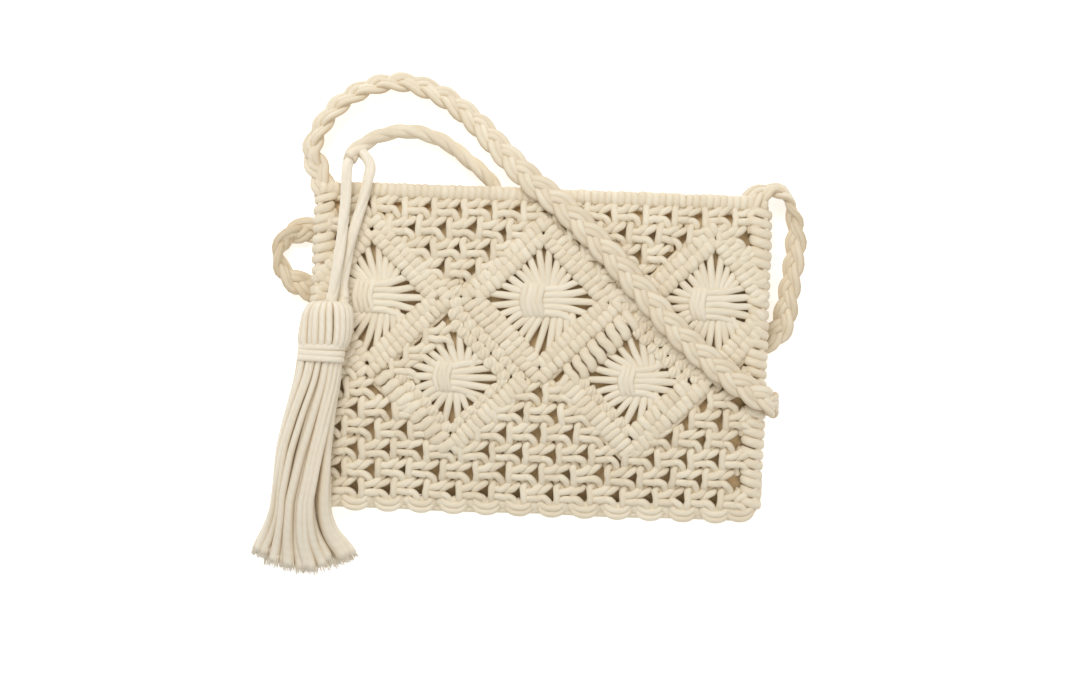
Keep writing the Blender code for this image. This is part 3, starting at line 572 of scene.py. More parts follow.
def cloth_material(name, deep, pale):
    """Plain woven tan cloth of the pouch."""
    look, tree, shader = blank_material(name)
    where = node(tree, "ShaderNodeTexCoord").outputs["Object"]
    threads = []
    for way in ("X", "Y"):
        wave = node(tree, "ShaderNodeTexWave", wave_type="BANDS", bands_direction=way)
        wave.inputs["Scale"].default_value = WEAVE_SCALE
        wave.inputs["Distortion"].default_value = 0.6
        wave.inputs["Detail"].default_value = 1.0
        tree.links.new(where, wave.inputs["Vector"])
        threads.append(wave.outputs["Fac"])
    weave = calculate(tree, "MULTIPLY", *threads)
    tone = calculate(tree, "MULTIPLY_ADD", weave, 0.35, noise(tree, where, 40.0), clamp=True)
    tree.links.new(two_tones(tree, tone, deep, pale), shader.inputs["Base Color"])
    raise_surface(tree, shader, weave, CLOTH_DEPTH, 0.0002)
    shader.inputs["Roughness"].default_value = 0.9
    shader.inputs["Specular IOR Level"].default_value = 0.15
    return look


def floor_material():
    """The white floor that gives a little light of its own."""
    look, tree, shader = blank_material("studio floor")
    where = node(tree, "ShaderNodeTexCoord").outputs["Object"]
    tree.links.new(two_tones(tree, noise(tree, where, 300.0), *FLOOR_GREYS), shader.inputs["Base Color"])
    shader.inputs["Roughness"].default_value = 0.9
    shader.inputs["Emission Color"].default_value = (1, 1, 1, 1)
    shader.inputs["Emission Strength"].default_value = 0.45
    return look


# The camera looks straight down; the bag lies a little turned in its picture
CAMERA_AIM = (0.0008, 0.0081, 0.030)
CAMERA_DISTANCE = 1.6
CAMERA_TURN = math.radians(2.05)
SENSOR_WIDTH = 36.0
PICTURE_WIDTH = 0.654
FLOOR_HALF = 3.0
FLOOR_DROP = 0.0004
WORLD_LIGHT = 0.55
# The lights: name, place, size and power
LAMPS = (("key_light", (-0.35, 0.95, 1.3), 0.8, 12.5), ("fill_light", (0.9, -0.5, 1.3), 1.4, 4.0))


def make_camera():
    aim = np.array(CAMERA_AIM) + TO_FRAME
    camera = bpy.data.objects.new("camera", bpy.data.cameras.new("camera"))
    bpy.context.scene.collection.objects.link(camera)
    camera.data.sensor_width = SENSOR_WIDTH
    camera.data.lens = SENSOR_WIDTH * CAMERA_DISTANCE / PICTURE_WIDTH
    camera.data.clip_start = 0.05
    camera.data.clip_end = 20.0
    camera.location = (aim[0], aim[1], aim[2] + CAMERA_DISTANCE)
    camera.rotation_euler = (0.0, 0.0, CAMERA_TURN)
    bpy.context.scene.camera = camera


def make_studio():
    """White floor, two soft lights and an even white world."""
    mesh = bpy.data.meshes.new("studio_floor")
    corners = [(-FLOOR_HALF, -FLOOR_HALF, 0), (FLOOR_HALF, -FLOOR_HALF, 0), (FLOOR_HALF, FLOOR_HALF, 0),
               (-FLOOR_HALF, FLOOR_HALF, 0)]
    mesh.from_pydata(corners, [], [(0, 1, 2, 3)])
    floor = bpy.data.objects.new("studio_floor", mesh)
    bpy.context.scene.collection.objects.link(floor)
    floor.location = (0, 0, -FLOOR_DROP)
    mesh.materials.append(floor_material())

    for name, place, size, power in LAMPS:
        lamp = bpy.data.lights.new(name, "AREA")
        lamp.size = size
        lamp.energy = power
        lamp_object = bpy.data.objects.new(name, lamp)
        bpy.context.scene.collection.objects.link(lamp_object)
        lamp_object.location = place
        lamp_object.rotation_mode = "QUATERNION"
        lamp_object.rotation_quaternion = Vector(-np.array(place)).to_track_quat("-Z", "Y")
    world = bpy.data.worlds.new("studio")
    world.use_nodes = True
    world.node_tree.nodes["Background"].inputs["Color"].default_value = (1, 1, 1, 1)
    world.node_tree.nodes["Background"].inputs["Strength"].default_value = WORLD_LIGHT
    bpy.context.scene.world = world
    bpy.context.scene.view_settings.view_transform = "Standard"


# The free cords
def make_strap(look):
    """A flat braid of three strands, each of two cords side by side."""
    rows, along = even_route(STRAP_ROUTE, STRAP_STEP)
    line = rows[:, :3]
    tangent = unit(np.gradient(line, axis=0))
    face = rows[:, 3:6]
    face = unit(face - (face * tangent).sum(-1, keepdims=True) * tangent)
    side = np.cross(face, tangent)
    share = rows[:, 6]
    radius = BRAID_CORD / MM * (0.8 + 0.2 * share)
    bundle = Bundle("shoulder_braid", 11)
    for strand in range(3):
        phase = 2 * np.pi * (along / BRAID_PITCH + strand / 3)
        across = BRAID_REACH * np.sin(phase)
        slope = BRAID_REACH * np.cos(phase) * 2 * np.pi / BRAID_PITCH
        rise = BRAID_RISE * np.sin(2 * phase) * share
        lean = np.sqrt(1 + slope ** 2)
        outward = side / lean[:, None] - tangent * (slope / lean)[:, None]
        for half in (-1, 1):
            path = line + side * across[:, None] + face * rise[:, None] + half * BRAID_PAIR * outward
            bundle.add(path, radius, 10, wide=outward[None], flat=BRAID_FLAT, crease=BRAID_PAINTED_SHADE)
    piece = bundle.build(look, ["shoulder_strap"])
    path = line + TO_FRAME


def add_twisted(bundle, line, along, reach, twist, radius, sides):
    """Three strands that wind round a line."""
    _, normals, binormals = frames_along(line[None])
    for strand in range(3):
        angle = (2 * np.pi * (along / twist + strand / 3))[:, None]
        path = line + reach * (np.cos(angle) * normals[0] + np.sin(angle) * binormals[0])
        bundle.add(path, radius / MM, sides)


def make_rope(look):
    """A rope of three twisted strands, from inside the mouth to the tassel's hangers."""
    line, along = even_route(ROPE_ROUTE, ROPE_STEP)
    bundle = Bundle("mouth_rope", 12)
    add_twisted(bundle, line, along, ROPE_WIDTH / 2 - ROPE_STRAND, ROPE_TWIST, ROPE_STRAND, 10)
    piece = bundle.build(look, ["tassel_rope"])


def make_hanger(name, rows, stands_for, seed, look):
    """A soft strand of cord that carries the tassel."""
    line, along = even_route(rows, HANGER_STEP)
    bundle = Bundle(name, seed)
    add_twisted(bundle, line, along, HANGER_WIDTH / 2 - HANGER_STRAND, HANGER_TWIST, HANGER_STRAND, 12)
    piece = bundle.build(look, [stands_for])


# Square knots, drawn in mm round the middle between two gaps: points and radius of each cord
KNOT_SHAPES = [
    ([(-5.2, 6.6, -1.2), (-6.6, 5.0, 0.8), (-6.7, 2.0, 1.7), (-6.4, -1.5, 1.7), (-6.6, -4.4, 0.9),
      (-6.0, -6.3, -1.0)], 2.2),
    ([(-6.2, 1.6, -0.8), (-4.2, 1.9, 1.2), (-1.2, 2.4, 1.9), (1.4, 3.7, 1.6), (3.3, 5.4, 0.5),
      (4.2, 7.0, -1.0)], 2.25),
    ([(1.2, 1.2, -0.8), (3.4, 1.9, 0.8), (5.8, 3.1, 1.4), (8.2, 4.7, 0.9), (10.0, 6.3, -0.8)], 2.05),
    ([(-6.2, -1.9, -0.8), (-4.0, -2.1, 1.2), (-1.0, -2.2, 2.0), (1.8, -2.2, 1.4), (3.4, -2.6, -0.4)], 2.2),
    ([(1.6, -1.8, -0.4), (3.6, -1.8, 1.2), (6.0, -2.4, 1.5), (8.1, -4.3, 0.9), (9.2, -6.8, -0.6),
      (9.4, -8.2, -1.6)], 2.15),
    ([(-5.6, 8.4, -1.6), (-3.6, 5.4, -1.6), (-2.3, 0.0, -1.6), (-3.4, -5.4, -1.6), (-5.6, -8.4, -1.6)], 2.1),
    ([(4.4, 8.4, -1.6), (3.2, 5.4, -1.6), (1.8, 0.0, -1.6), (2.4, -5.4, -1.6), (3.6, -8.4, -1.6)], 2.1),
]
KNOT_STAND = 3.6
KNOT_FULLNESS = 1.04
BACK_STAND = 2.9
# How much one knot differs from the next: shift and bend in mm, turn, and share of the radius
KNOT_SHIFT = 0.35
KNOT_BEND = 0.22
KNOT_TURN = math.radians(3.5)
KNOT_SWELL = 0.05


def knot_places(rows, pitch, start, mirrored=False):
    """Middles of the square knots in some rows, in mm; the back's are cut off mirrored."""
    found = []
    for row in rows:
        stagger = 0.5 if row % 2 else 0.0
        for step in range(-KNOT_STEPS, KNOT_STEPS + 1):
            x = start + pitch * (step + stagger)
            if KNOT_LEFT_LIMIT < (-x if mirrored else x) < KNOT_RIGHT_LIMIT:
                found.append((x, ROW_TOP - row * ROW_STEP))
    return found


def clear_of_frames(place):
    """Whether a knot lies outside every diamond's bars."""
    for middle_x, middle_y, left, right, tall in UPPER_DIAMONDS + LOWER_DIAMONDS:
        x, y = place[0] - middle_x, place[1] - middle_y
        squeeze = tall / (right if x > 0 else left)
        clearance = UPPER_CLEARANCE if tall > LARGE_DIAMOND else LOWER_CLEARANCE
        if abs(x) * squeeze + abs(y) < clearance:
            return False
    return True


def add_knots(bundle, centres, face, stand, way=1, sides=8, steps=3, spread=1.0):
    """Square knots on a face of the bag, each a little different."""
    random = bundle.random
    centres = np.array(centres, float)
    count = len(centres)
    moved = centres + random.normal(0, KNOT_SHIFT, (count, 2))
    turns = random.normal(0, KNOT_TURN, count)
    for shape, radius in KNOT_SHAPES:
        shape = np.array(shape, float) * [spread, 1.0, 1.0]
        shape[:, 2] += stand
        jitter = random.normal(0, KNOT_BEND, (count, len(shape), 3))
        controls = laid(shape, moved, turns, face, way, jitter)
        swell = radius * KNOT_FULLNESS * random.normal(1.0, KNOT_SWELL, (count, 1))
        bundle.add(spline(controls, steps), swell, sides)


def make_upper_knots(look):
    """The net above the diamonds, and a cord along the foot of the rim."""
    rows = knot_places(range(UPPER_ROWS), UPPER_PITCH, UPPER_START)
    centres = [place for place in rows if clear_of_frames(place)]
    bundle = Bundle("front_knots_upper", 21)
    add_knots(bundle, centres, front_face, KNOT_STAND, spread=UPPER_PITCH / LOWER_PITCH)
    line = np.linspace(-131.0, 131.0, 60)
    add_line(bundle, np.stack([line, 88.6 + 0.4 * np.sin(line * 0.7)], axis=1), 2.1, 2.4)
    bundle.build(look, ["front_net_upper"], painted_shade_in_front)


def make_lower_knots(look):
    """The net under the diamonds, and the loops along its foot."""
    rows = knot_places(range(UPPER_ROWS, ROW_COUNT), LOWER_PITCH, LOWER_START)
    centres = [place for place in rows if clear_of_frames(place)] + HAND_SET_KNOTS
    bundle = Bundle("front_knots_lower", 22)
    add_knots(bundle, centres, front_face, KNOT_STAND)
    add_foot_arcs(bundle)
    bundle.build(look, ["front_net_lower"], painted_shade_in_front)


def add_foot_arcs(bundle):
    """Smile-shaped loops under the last row of knots."""
    shape = np.array([(-8.9, 4.2, 1.8), (-6.6, -0.4, 3.6), (-2.8, -2.8, 4.4), (2.4, -3.0, 4.4),
                      (6.4, -0.8, 3.8), (8.9, 4.0, 1.8)])
    y = ROW_TOP - (ROW_COUNT - 1) * ROW_STEP - 5.4
    centres = [(LOWER_START + LOWER_PITCH * (step + 0.5), y) for step in range(-7, 7)]
    centres = [place for place in centres if abs(place[0]) < 128]
    centres += [(-125.5, y + 1.2), (126.0, y + 1.2)]
    for drop, radius in ((0.0, 2.2), (-3.6, 2.0)):
        lower = shape + [0, drop, drop * 0.15]
        controls = laid(lower, centres, np.zeros(len(centres)), front_face)
        bundle.add(spline(controls, 3), radius)


def add_line(bundle, spots, radius, stand):
    """A cord laid along spots in mm, on the front of the bag."""
    x, y = spots[:, 0] * MM, spots[:, 1] * MM
    bundle.add(np.stack([x, y, front_face(x, y) + stand * MM], axis=1), radius, 8)


def make_back_knots(look):
    """Plain knots over the whole back, in a left and a right piece."""
    centres = knot_places(range(ROW_COUNT), LOWER_PITCH, LOWER_START, mirrored=True)
    for name, seed, side in (("back_knots_left", 31, -1), ("back_knots_right", 32, 1)):
        bundle = Bundle(name, seed)
        chosen = [place for place in centres if (place[0] >= 0) == (side > 0)]
        add_knots(bundle, chosen, back_face, BACK_STAND, way=-1, sides=7, steps=2)
        bundle.build(look, ["back_net"], painted_shade_in_back)


# The diamond frames
RIB_STAND = 4.5
RING_STAND = 4.6


def corner_pair(diamond, side):
    """The two corners that a side of the opening joins, in mm."""
    x, y, left, right, tall = diamond
    corners = {"up_left": ((x - left, y), (x, y + tall)), "up_right": ((x, y + tall), (x + right, y)),
               "low_right": ((x + right, y), (x, y - tall)), "low_left": ((x, y - tall), (x - left, y))}
    return np.array(corners[side])


def along_side(diamond, side, offset, pitch):
    """Places along a side, offset mm outside its opening, with the way it runs."""
    start, end = corner_pair(diamond, side)
    way = unit(end - start)
    outward = np.array([way[1], -way[0]])
    if (outward * ((start + end) / 2 - np.array(diamond[:2]))).sum() < 0:
        outward = -outward
    length = np.linalg.norm(end - start) + 2 * offset
    count = max(2, int(round(length / pitch)))
    steps = ((np.arange(count) + 0.5) / count - 0.5) * length
    centres = (start + end) / 2 + outward * offset + steps[:, None] * way
    inside = (np.abs(centres[:, 0]) < BAR_LIMIT_X) & (centres[:, 1] < BAR_LIMIT_Y)
    return centres[inside], way


def add_ribs(bundle, diamond, side, offset, length, pitch=4.4, radius=2.55, lean=0.3):
    """A row of flattened ribs across a side of a diamond."""
    centres, way = along_side(diamond, side, offset, pitch)
    count = len(centres)
    turns = np.full(count, math.atan2(way[1], way[0]))
    shape = np.array([(-lean, -0.5, -1.0), (-lean, -0.43, 0.9), (0.0, -0.18, 1.7), (0.0, 0.18, 1.7),
                      (lean, 0.43, 0.9), (lean, 0.5, -1.0)])
    shape[:, 1] *= length
    shape[:, 2] += RIB_STAND
    random = bundle.random
    moved = centres + random.normal(0, 0.18, (count, 2))
    turns = turns + random.normal(0, math.radians(3.5), count)
    jitter = random.normal(0, 0.12, (count, len(shape), 3))
    controls = laid(shape, moved, turns, front_face, 1, jitter)
    swell = radius * random.normal(1.0, 0.04, (count, 1))
    bundle.add(spline(controls, 3), swell, 8, wide=(way[0], way[1], 0.0), flat=0.72)


def add_holding_cord(bundle, diamond, side, offset, radius=2.6, stand=2.5):
    """A cord that lies under the ribs along a side."""
    centres, _ = along_side(diamond, side, offset, 3.0)
    add_line(bundle, centres, radius, stand)


def add_ring_knots(bundle, diamond, side, offset, pitch=6.2, size=1.0):
    """A row of small round knots along a side."""
    centres, _ = along_side(diamond, side, offset, pitch)
    add_rings_at(bundle, centres, size)


def add_rings_at(bundle, centres, size=1.0):
    """Small round knots: a ring with a bar across it."""
    random = bundle.random
    centres = np.array(centres, float)
    count = len(centres)
    turns = random.uniform(-0.5, 0.5, count)
    angle = 2 * np.pi * np.arange(10) / 10
    ring = np.stack([2.35 * np.cos(angle), 2.1 * np.sin(angle), 0.5 * np.cos(2 * angle) + RING_STAND], axis=1)
    moved = centres + random.normal(0, KNOT_SHIFT, (count, 2))
    swell = 1.65 * size * random.normal(1.0, 0.06, (count, 1))
    bundle.add(laid(ring * [size, size, 1], moved, turns, front_face), swell, 7, closed=True)
    bar = np.array([(-3.2, -1.0, RING_STAND - 1.5), (-1.2, -0.4, RING_STAND + 0.9),
                    (1.2, 0.4, RING_STAND + 0.9), (3.2, 1.0, RING_STAND - 1.5)]) * [size, size, 1]
    bundle.add(spline(laid(bar, moved, turns + 0.9, front_face), 3), 1.6 * size, 7)


def make_frame_bars(look):
    """Ribs and round knots along the sides of all diamonds, over their holding cords."""
    bundle = Bundle("frame_bars", 41)
    for diamond in UPPER_DIAMONDS:
        for side in ("up_left", "up_right", "low_right", "low_left"):
            for offset in (3.3, 9.3):
                add_ribs(bundle, diamond, side, offset, 6.2)
                add_holding_cord(bundle, diamond, side, offset)
            add_holding_cord(bundle, diamond, side, 13.6, 2.1, 2.6)
    left, right = LOWER_DIAMONDS
    add_ring_knots(bundle, left, "up_right", 3.6, size=1.1)
    add_ring_knots(bundle, left, "up_right", 10.4, size=1.1)
    add_ring_knots(bundle, left, "low_left", 3.2)
    add_ribs(bundle, left, "low_left", 11.0, 9.6, pitch=6.0, radius=3.1, lean=0.8)
    add_ring_knots(bundle, left, "low_right", 3.2, pitch=5.2, size=0.9)
    add_ribs(bundle, left, "low_right", 10.9, 9.0)
    add_ribs(bundle, right, "up_left", 8.2, 12.4, pitch=7.0, radius=3.1, lean=1.0)
    add_ring_knots(bundle, right, "up_right", 3.0)
    add_ring_knots(bundle, right, "up_right", 8.6)
    add_ring_knots(bundle, right, "low_left", 3.2)
    add_ribs(bundle, right, "low_left", 11.0, 9.2)
    add_ribs(bundle, right, "low_right", 4.2, 7.6, pitch=4.8, radius=2.7)
    add_ribs(bundle, right, "low_right", 11.6, 7.4, pitch=4.6, radius=2.6)
    for diamond in LOWER_DIAMONDS:
        for side in ("up_right", "low_left", "low_right"):
            for offset in (3.4, 10.6):
                add_holding_cord(bundle, diamond, side, offset)
        for side in ("low_left", "low_right"):
            add_holding_cord(bundle, diamond, side, 16.6, 2.1, 2.6)
    add_rings_at(bundle, LINK_KNOTS, LINK_SIZE)
    bundle.build(look, ["diamond_bars"], painted_shade_in_front)


# The stars: name, seed, diamond, where the wraps start and end, how far the held cords run right and
# half the height, in mm, then the part each stands for
STAR_PLANS = [
    ("left_star", 51, LEFT_DIAMOND, -9.7, 2.4, 18.0, 9.4, "star_left"),
    ("centre_star", 52, CENTRE_DIAMOND, -11.9, 1.4, 20.0, 9.0, "star_centre"),
    ("right_star", 53, RIGHT_DIAMOND, -14.0, -5.0, 12.5, 8.8, "star_right"),
    ("low_left_star", 54, LOW_LEFT_DIAMOND, -10.3, 0.0, 9.0, 8.4, "star_low_left"),
    ("low_right_star", 55, LOW_RIGHT_DIAMOND, -7.6, 1.5, 15.0, 8.4, "star_low_right"),
]
RAY_RADIUS = 2.4
RAY_END = 0.84
RAY_ROOT = 0.8
RAY_TUCK = 4.5
WRAP_FULLNESS = 1.28


def ray_end(angle, diamond):
    """Where a ray goes under the bars, from the middle of its diamond, in mm."""
    _, _, left, right, tall = diamond
    half = right if math.cos(angle) > 0 else left
    reach = 1 / (abs(math.cos(angle)) / (half + RAY_TUCK) + abs(math.sin(angle)) / (tall + RAY_TUCK))
    return reach * math.cos(angle), reach * math.sin(angle)


def make_star(plan, look):
    """Rays that run from a wrap in the middle to under the bars all round."""
    name, seed, diamond, wrap_left, wrap_right, bundle_right, half_high, stands_for = plan
    bundle = Bundle(name, seed)
    random = bundle.random
    large = diamond[4] > LARGE_DIAMOND

    def put(shape, radius, taper=1.0, first=1.0, **form):
        shape = np.array(shape, float)
        shape[1:-1, :2] += random.normal(0, 0.18, (len(shape) - 2, 2))
        path = spline(laid(shape, [diamond[:2]], [0.0], front_face), 4)
        thickness = np.interp(np.linspace(0, 1, path.shape[1]), (0, 0.5, 1), (first, 1, taper))
        bundle.add(path, thickness * radius * random.normal(1, 0.04), 10, **form)

    def fan(count, first, last):
        """Share of the way and direction of each ray, over an angle in degrees."""
        degrees = [first + (last - first) * k / (count - 1) for k in range(count)]
        return [(k / (count - 1), math.radians(degrees[k] + random.normal(0, 0.8))) for k in range(count)]

    for share, angle in fan(5, 29, -29):
        x_end, y_end = ray_end(angle, diamond)
        y = (1 - 2 * share) * (half_high - 1.6)
        turn = wrap_right + (bundle_right - wrap_right) * (1 - 0.45 * abs(1 - 2 * share))
        put([(wrap_right - 6.0, y * 0.9, 4.2), (wrap_right, y * 0.96, 5.0), ((wrap_right + turn) / 2, y, 5.0),
             (turn, y * 1.08, 4.6), ((turn + x_end) / 2, (y * 1.08 + y_end) / 2, 3.9), (x_end, y_end, 2.6)],
            RAY_RADIUS, RAY_END, wide=(0.0, 1.0, 0.0), flat=0.8)
    for share, angle in fan(6 if large else 5, 146, 216):
        x_end, y_end = ray_end(angle, diamond)
        y = (1 - 2 * share) * (half_high - 1.8)
        put([(x_end, y_end, 2.6), ((x_end + wrap_left) / 2, (y_end + y) / 2, 3.9), (wrap_left + 1.0, y, 4.4),
             (wrap_left + 6.0, y * 0.9, 4.2)], RAY_RADIUS, RAY_ROOT, RAY_END)
    for share, angle in fan(8 if large else 6, 134, 46):
        x_end, y_end = ray_end(angle, diamond)
        x = wrap_left + 6.0 + share * 16.0
        put([(x_end, y_end, 2.6), ((x_end + x) / 2, (y_end + half_high) / 2, 3.4), (x, half_high - 0.5, 3.0),
             (x * 0.7 + 0.6, half_high * 0.3, 1.8)], RAY_RADIUS, RAY_ROOT, RAY_END)
    for share, angle in fan(8 if large else 6, 226, 316):
        x_end, y_end = ray_end(angle, diamond)
        x = wrap_left + 5.0 + share * (bundle_right - wrap_left - 6.0)
        put([(x_end, y_end, 2.6), ((x_end + x) / 2, (y_end - half_high) / 2, 3.4), (x, -half_high + 0.4, 3.0),
             (x * 0.9 + 0.4, -half_high * 0.4, 1.8)], RAY_RADIUS, RAY_ROOT, RAY_END)
    wraps = 4 if wrap_right - wrap_left > 9.5 else 3
    width = (wrap_right - wrap_left) / wraps
    for k in range(wraps):
        x = wrap_left + (k + 0.5) * width
        bow = -1.0 - 0.2 * random.random()
        put([(x + 1.2, half_high * 0.9, 1.6), (x + 0.9, half_high + 0.4, 4.2),
             (x + 0.1, half_high * 0.7, 6.3), (x + bow, 0, 7.2), (x + 0.1, -half_high * 0.7, 6.3),
             (x + 0.7, -half_high - 0.4, 4.2), (x + 0.9, -half_high * 0.9, 1.6)],
            width / 2 * WRAP_FULLNESS, wide=(1.0, 0.0, 0.0), flat=0.75)
    bundle.build(look, [stands_for], painted_shade_in_front)


# The rolled rims, the laced sides and the bottom edge
RIM_Y = 94.0
RIM_PITCH = 4.1
RIM_HALF = 136.0
# How much painted shade darkens the sides of the loops where they meet
LOOP_PAINTED_SHADE = 0.5
LACE_FLAT = 0.62
SIDE_LOOPS = 30
BOTTOM_LOOPS = 56
# Edge cords: how far out, the share of the height and the radius in mm
SIDE_CORDS = ((0.1350, 0.22, 2.4), (0.1352, 0.5, 2.5), (0.1351, 0.82, 2.4))
BOTTOM_CORDS = ((0.25, 2.3), (0.5, 2.6), (0.78, 2.5))
# The edging that goes round the bottom corners, in mm
EDGING_X = [-137.0, -137.2, -134.6, -128.5, -110, -80, -45, 0, 45, 80, 110, 128.5, 134.6, 137.2, 137.0]
EDGING_Y = [-72.0, -84.0, -92.4, -96.8, -97.6, -97.6, -97.8, -97.8, -97.8, -97.6, -97.6, -96.8, -92.4,
            -84.0, -72.0]


def edge_heights(x, y):
    """The lowest and highest place of the nets at the bag's edge."""
    return back_face(x, y) - NET_THICK, front_face(x, y) + NET_THICK


def corner_rise(x):
    """How far the bottom edge rises toward a corner."""
    return np.maximum(0, np.abs(x) - 0.120) ** 2 * 40


def add_laces(bundle, rows, radius, spread, wide):
    """Flat loops side by side, each through one place of every row."""
    controls = np.stack([np.stack(row, axis=-1) for row in rows], axis=1)
    swell = radius * bundle.random.normal(1, spread, (len(controls), 1))
    bundle.add(spline(controls, 2), swell, 8, wide=wide, flat=LACE_FLAT, crease=LOOP_PAINTED_SHADE)


def make_rim(name, seed, stands_for, height, look):
    """Flattened loops side by side round a core cord."""
    bundle = Bundle(name, seed)
    random = bundle.random
    count = int(2 * RIM_HALF / RIM_PITCH)
    x = ((np.arange(count) + 0.5) / count * 2 - 1) * RIM_HALF
    angle = 2 * np.pi * np.arange(14) / 14
    lean = random.normal(0, 0.3, (count, 1))
    ys = RIM_Y + 3.5 * np.sin(angle)[None] + random.normal(0, 0.12, (count, 1))
    xs = x[:, None] + lean * np.sin(angle)[None] + random.normal(0, 0.2, (count, 1))
    zs = height(x * MM)[:, None] / MM + 2.9 * np.cos(angle)[None]
    swell = 2.75 * random.normal(1, 0.06, (count, 1))
    loops = np.stack([xs, ys, zs], axis=-1) * MM
    bundle.add(loops, swell, 8, closed=True, wide=(1.0, 0.0, 0.0), flat=0.55, crease=LOOP_PAINTED_SHADE)
    line = np.linspace(-RIM_HALF, RIM_HALF, 40)
    core = np.stack([line * MM, np.full(40, RIM_Y * MM), height(line * MM)], axis=1)
    bundle.add(core, 2.6, 8)
    bundle.build(look, [stands_for])


def make_sides(look):
    """Loops that lace the front to the back along each side, over edge cords."""
    for name, seed, side, stands_for in (("side_loops_left", 71, -1, "side_edge_left"),
                                         ("side_loops_right", 72, 1, "side_edge_right")):
        bundle = Bundle(name, seed)
        random = bundle.random
        y = (np.linspace(-89.0, 87.0, SIDE_LOOPS) + random.normal(0, 0.4, SIDE_LOOPS)) * MM
        inner = side * (0.1270 + random.normal(0, 0.0007, SIDE_LOOPS))
        outer = side * 0.1376 + 0 * y
        low, high = edge_heights(inner, y)
        rows = [(inner, y + 0.0034, high - 0.0040), (inner + side * 0.0010, y + 0.0028, high - 0.0016),
                (side * 0.1325 + 0 * y, y + 0.0012, high - 0.0006), (outer, y, high - 0.0046),
                (outer + side * 0.0004, y, (low + high) / 2), (outer, y, low + 0.0046),
                (side * 0.1335 + 0 * y, y - 0.0012, low + 0.0018), (inner, y - 0.0028, low + 0.0024)]
        add_laces(bundle, rows, 3.0, 0.06, (0.0, 1.0, 0.0))
        line = np.linspace(-0.0915, 0.0925, 60)
        low, high = edge_heights(side * 0.135 + 0 * line, line)
        for reach, share, radius in SIDE_CORDS:
            wave = 0.0004 * np.sin(line * 330 + share * 9)
            x = side * (reach + wave)
            bundle.add(np.stack([x, line, low + (high - low) * share], axis=1), radius, 8)
        bundle.build(look, [stands_for])


def make_bottom(look):
    """The bottom edge: cords along it, slanted loops round them and an edging round the corners."""
    bundle = Bundle("bottom_loops", 73)
    random = bundle.random
    x = (np.linspace(-131.0, 131.0, BOTTOM_LOOPS) + random.normal(0, 0.3, BOTTOM_LOOPS)) * MM
    inner = -0.0915 + 0 * x
    low, high = edge_heights(x, inner)
    corner = corner_rise(x)
    outer = -0.0970 + corner
    rows = [(x - 0.0034, inner + corner, high - 0.0030), (x - 0.0020, outer + 0.0024, high - 0.0022),
            (x - 0.0004, outer, high - 0.0056), (x + 0.0006, outer - 0.0002, (low + high) / 2),
            (x + 0.0014, outer, low + 0.0046), (x + 0.0024, outer + 0.0022, low + 0.0022),
            (x + 0.0030, inner + corner, low + 0.0026)]
    add_laces(bundle, rows, 2.9, 0.05, (1.0, 0.0, 0.0))
    line = np.linspace(-0.133, 0.133, 60)
    y = -0.0945 + corner_rise(line)
    low, high = edge_heights(line, y)
    for share, radius in BOTTOM_CORDS:
        bundle.add(np.stack([line, y, low + (high - low) * share], axis=1), radius, 8)
    for share in (0.30, 0.72):
        x = np.array(EDGING_X)
        y = np.array(EDGING_Y) + 0.35 * np.sin(np.arange(len(EDGING_Y)) * 2.4 + 5 * share)
        low, high = edge_heights(x * MM, y * MM)
        bundle.add(spline(np.stack([x * MM, y * MM, low + (high - low) * share], axis=1), 6), 2.3, 8)
    bundle.build(look, ["bottom_edge"])


# The cloth pouch inside the net
POUCH_HALF = 0.1318
POUCH_LOW = -0.0905
POUCH_HIGH = 0.0868
POUCH_COLUMNS = 60
POUCH_ROWS = 46
WRINKLE_DEPTH = 0.00010


def pouch_wrinkles():
    """A slow and shallow waviness of the cloth."""
    random = np.random.default_rng(81)
    waves = [(random.uniform(20, 70, 2), random.uniform(0, 6.3, 2)) for _ in range(5)]

    def wrinkle(x, y):
        total = 0 * x
        for turn, start in waves:
            total = total + np.sin(x * turn[0] * 2 + start[0]) * np.sin(y * turn[1] * 2 + start[1])
        return total * WRINKLE_DEPTH

    return wrinkle


def pouch_layer(inset, wrinkle):
    """Rings of places from the bottom to the mouth, on the cloth's outside or its inside."""
    across = np.linspace(-1, 1, POUCH_COLUMNS)
    rings = []
    for k, y in enumerate(np.linspace(POUCH_LOW, POUCH_HIGH, POUCH_ROWS)):
        edge = max(0.0, 1 - k / 1.5)
        x = across * (POUCH_HALF - inset)
        low = lining_low(y) + inset + wrinkle(x, y)
        high = lining_high(x, y) - inset + wrinkle(y + x, x)
        middle = (low + high) / 2
        round_off = np.sqrt(np.clip(1 - np.abs(across) ** 14, 0, 1)) * (1 - edge * 0.7)
        low = middle - (middle - low) * round_off
        high = middle + (high - middle) * round_off
        up = np.full(POUCH_COLUMNS, y + (inset if k == 0 else 0.0))
        rings.append(np.stack([x, up, low], axis=1))
        rings.append(np.stack([x[::-1], up, high[::-1]], axis=1)[1:-1])
    return rings


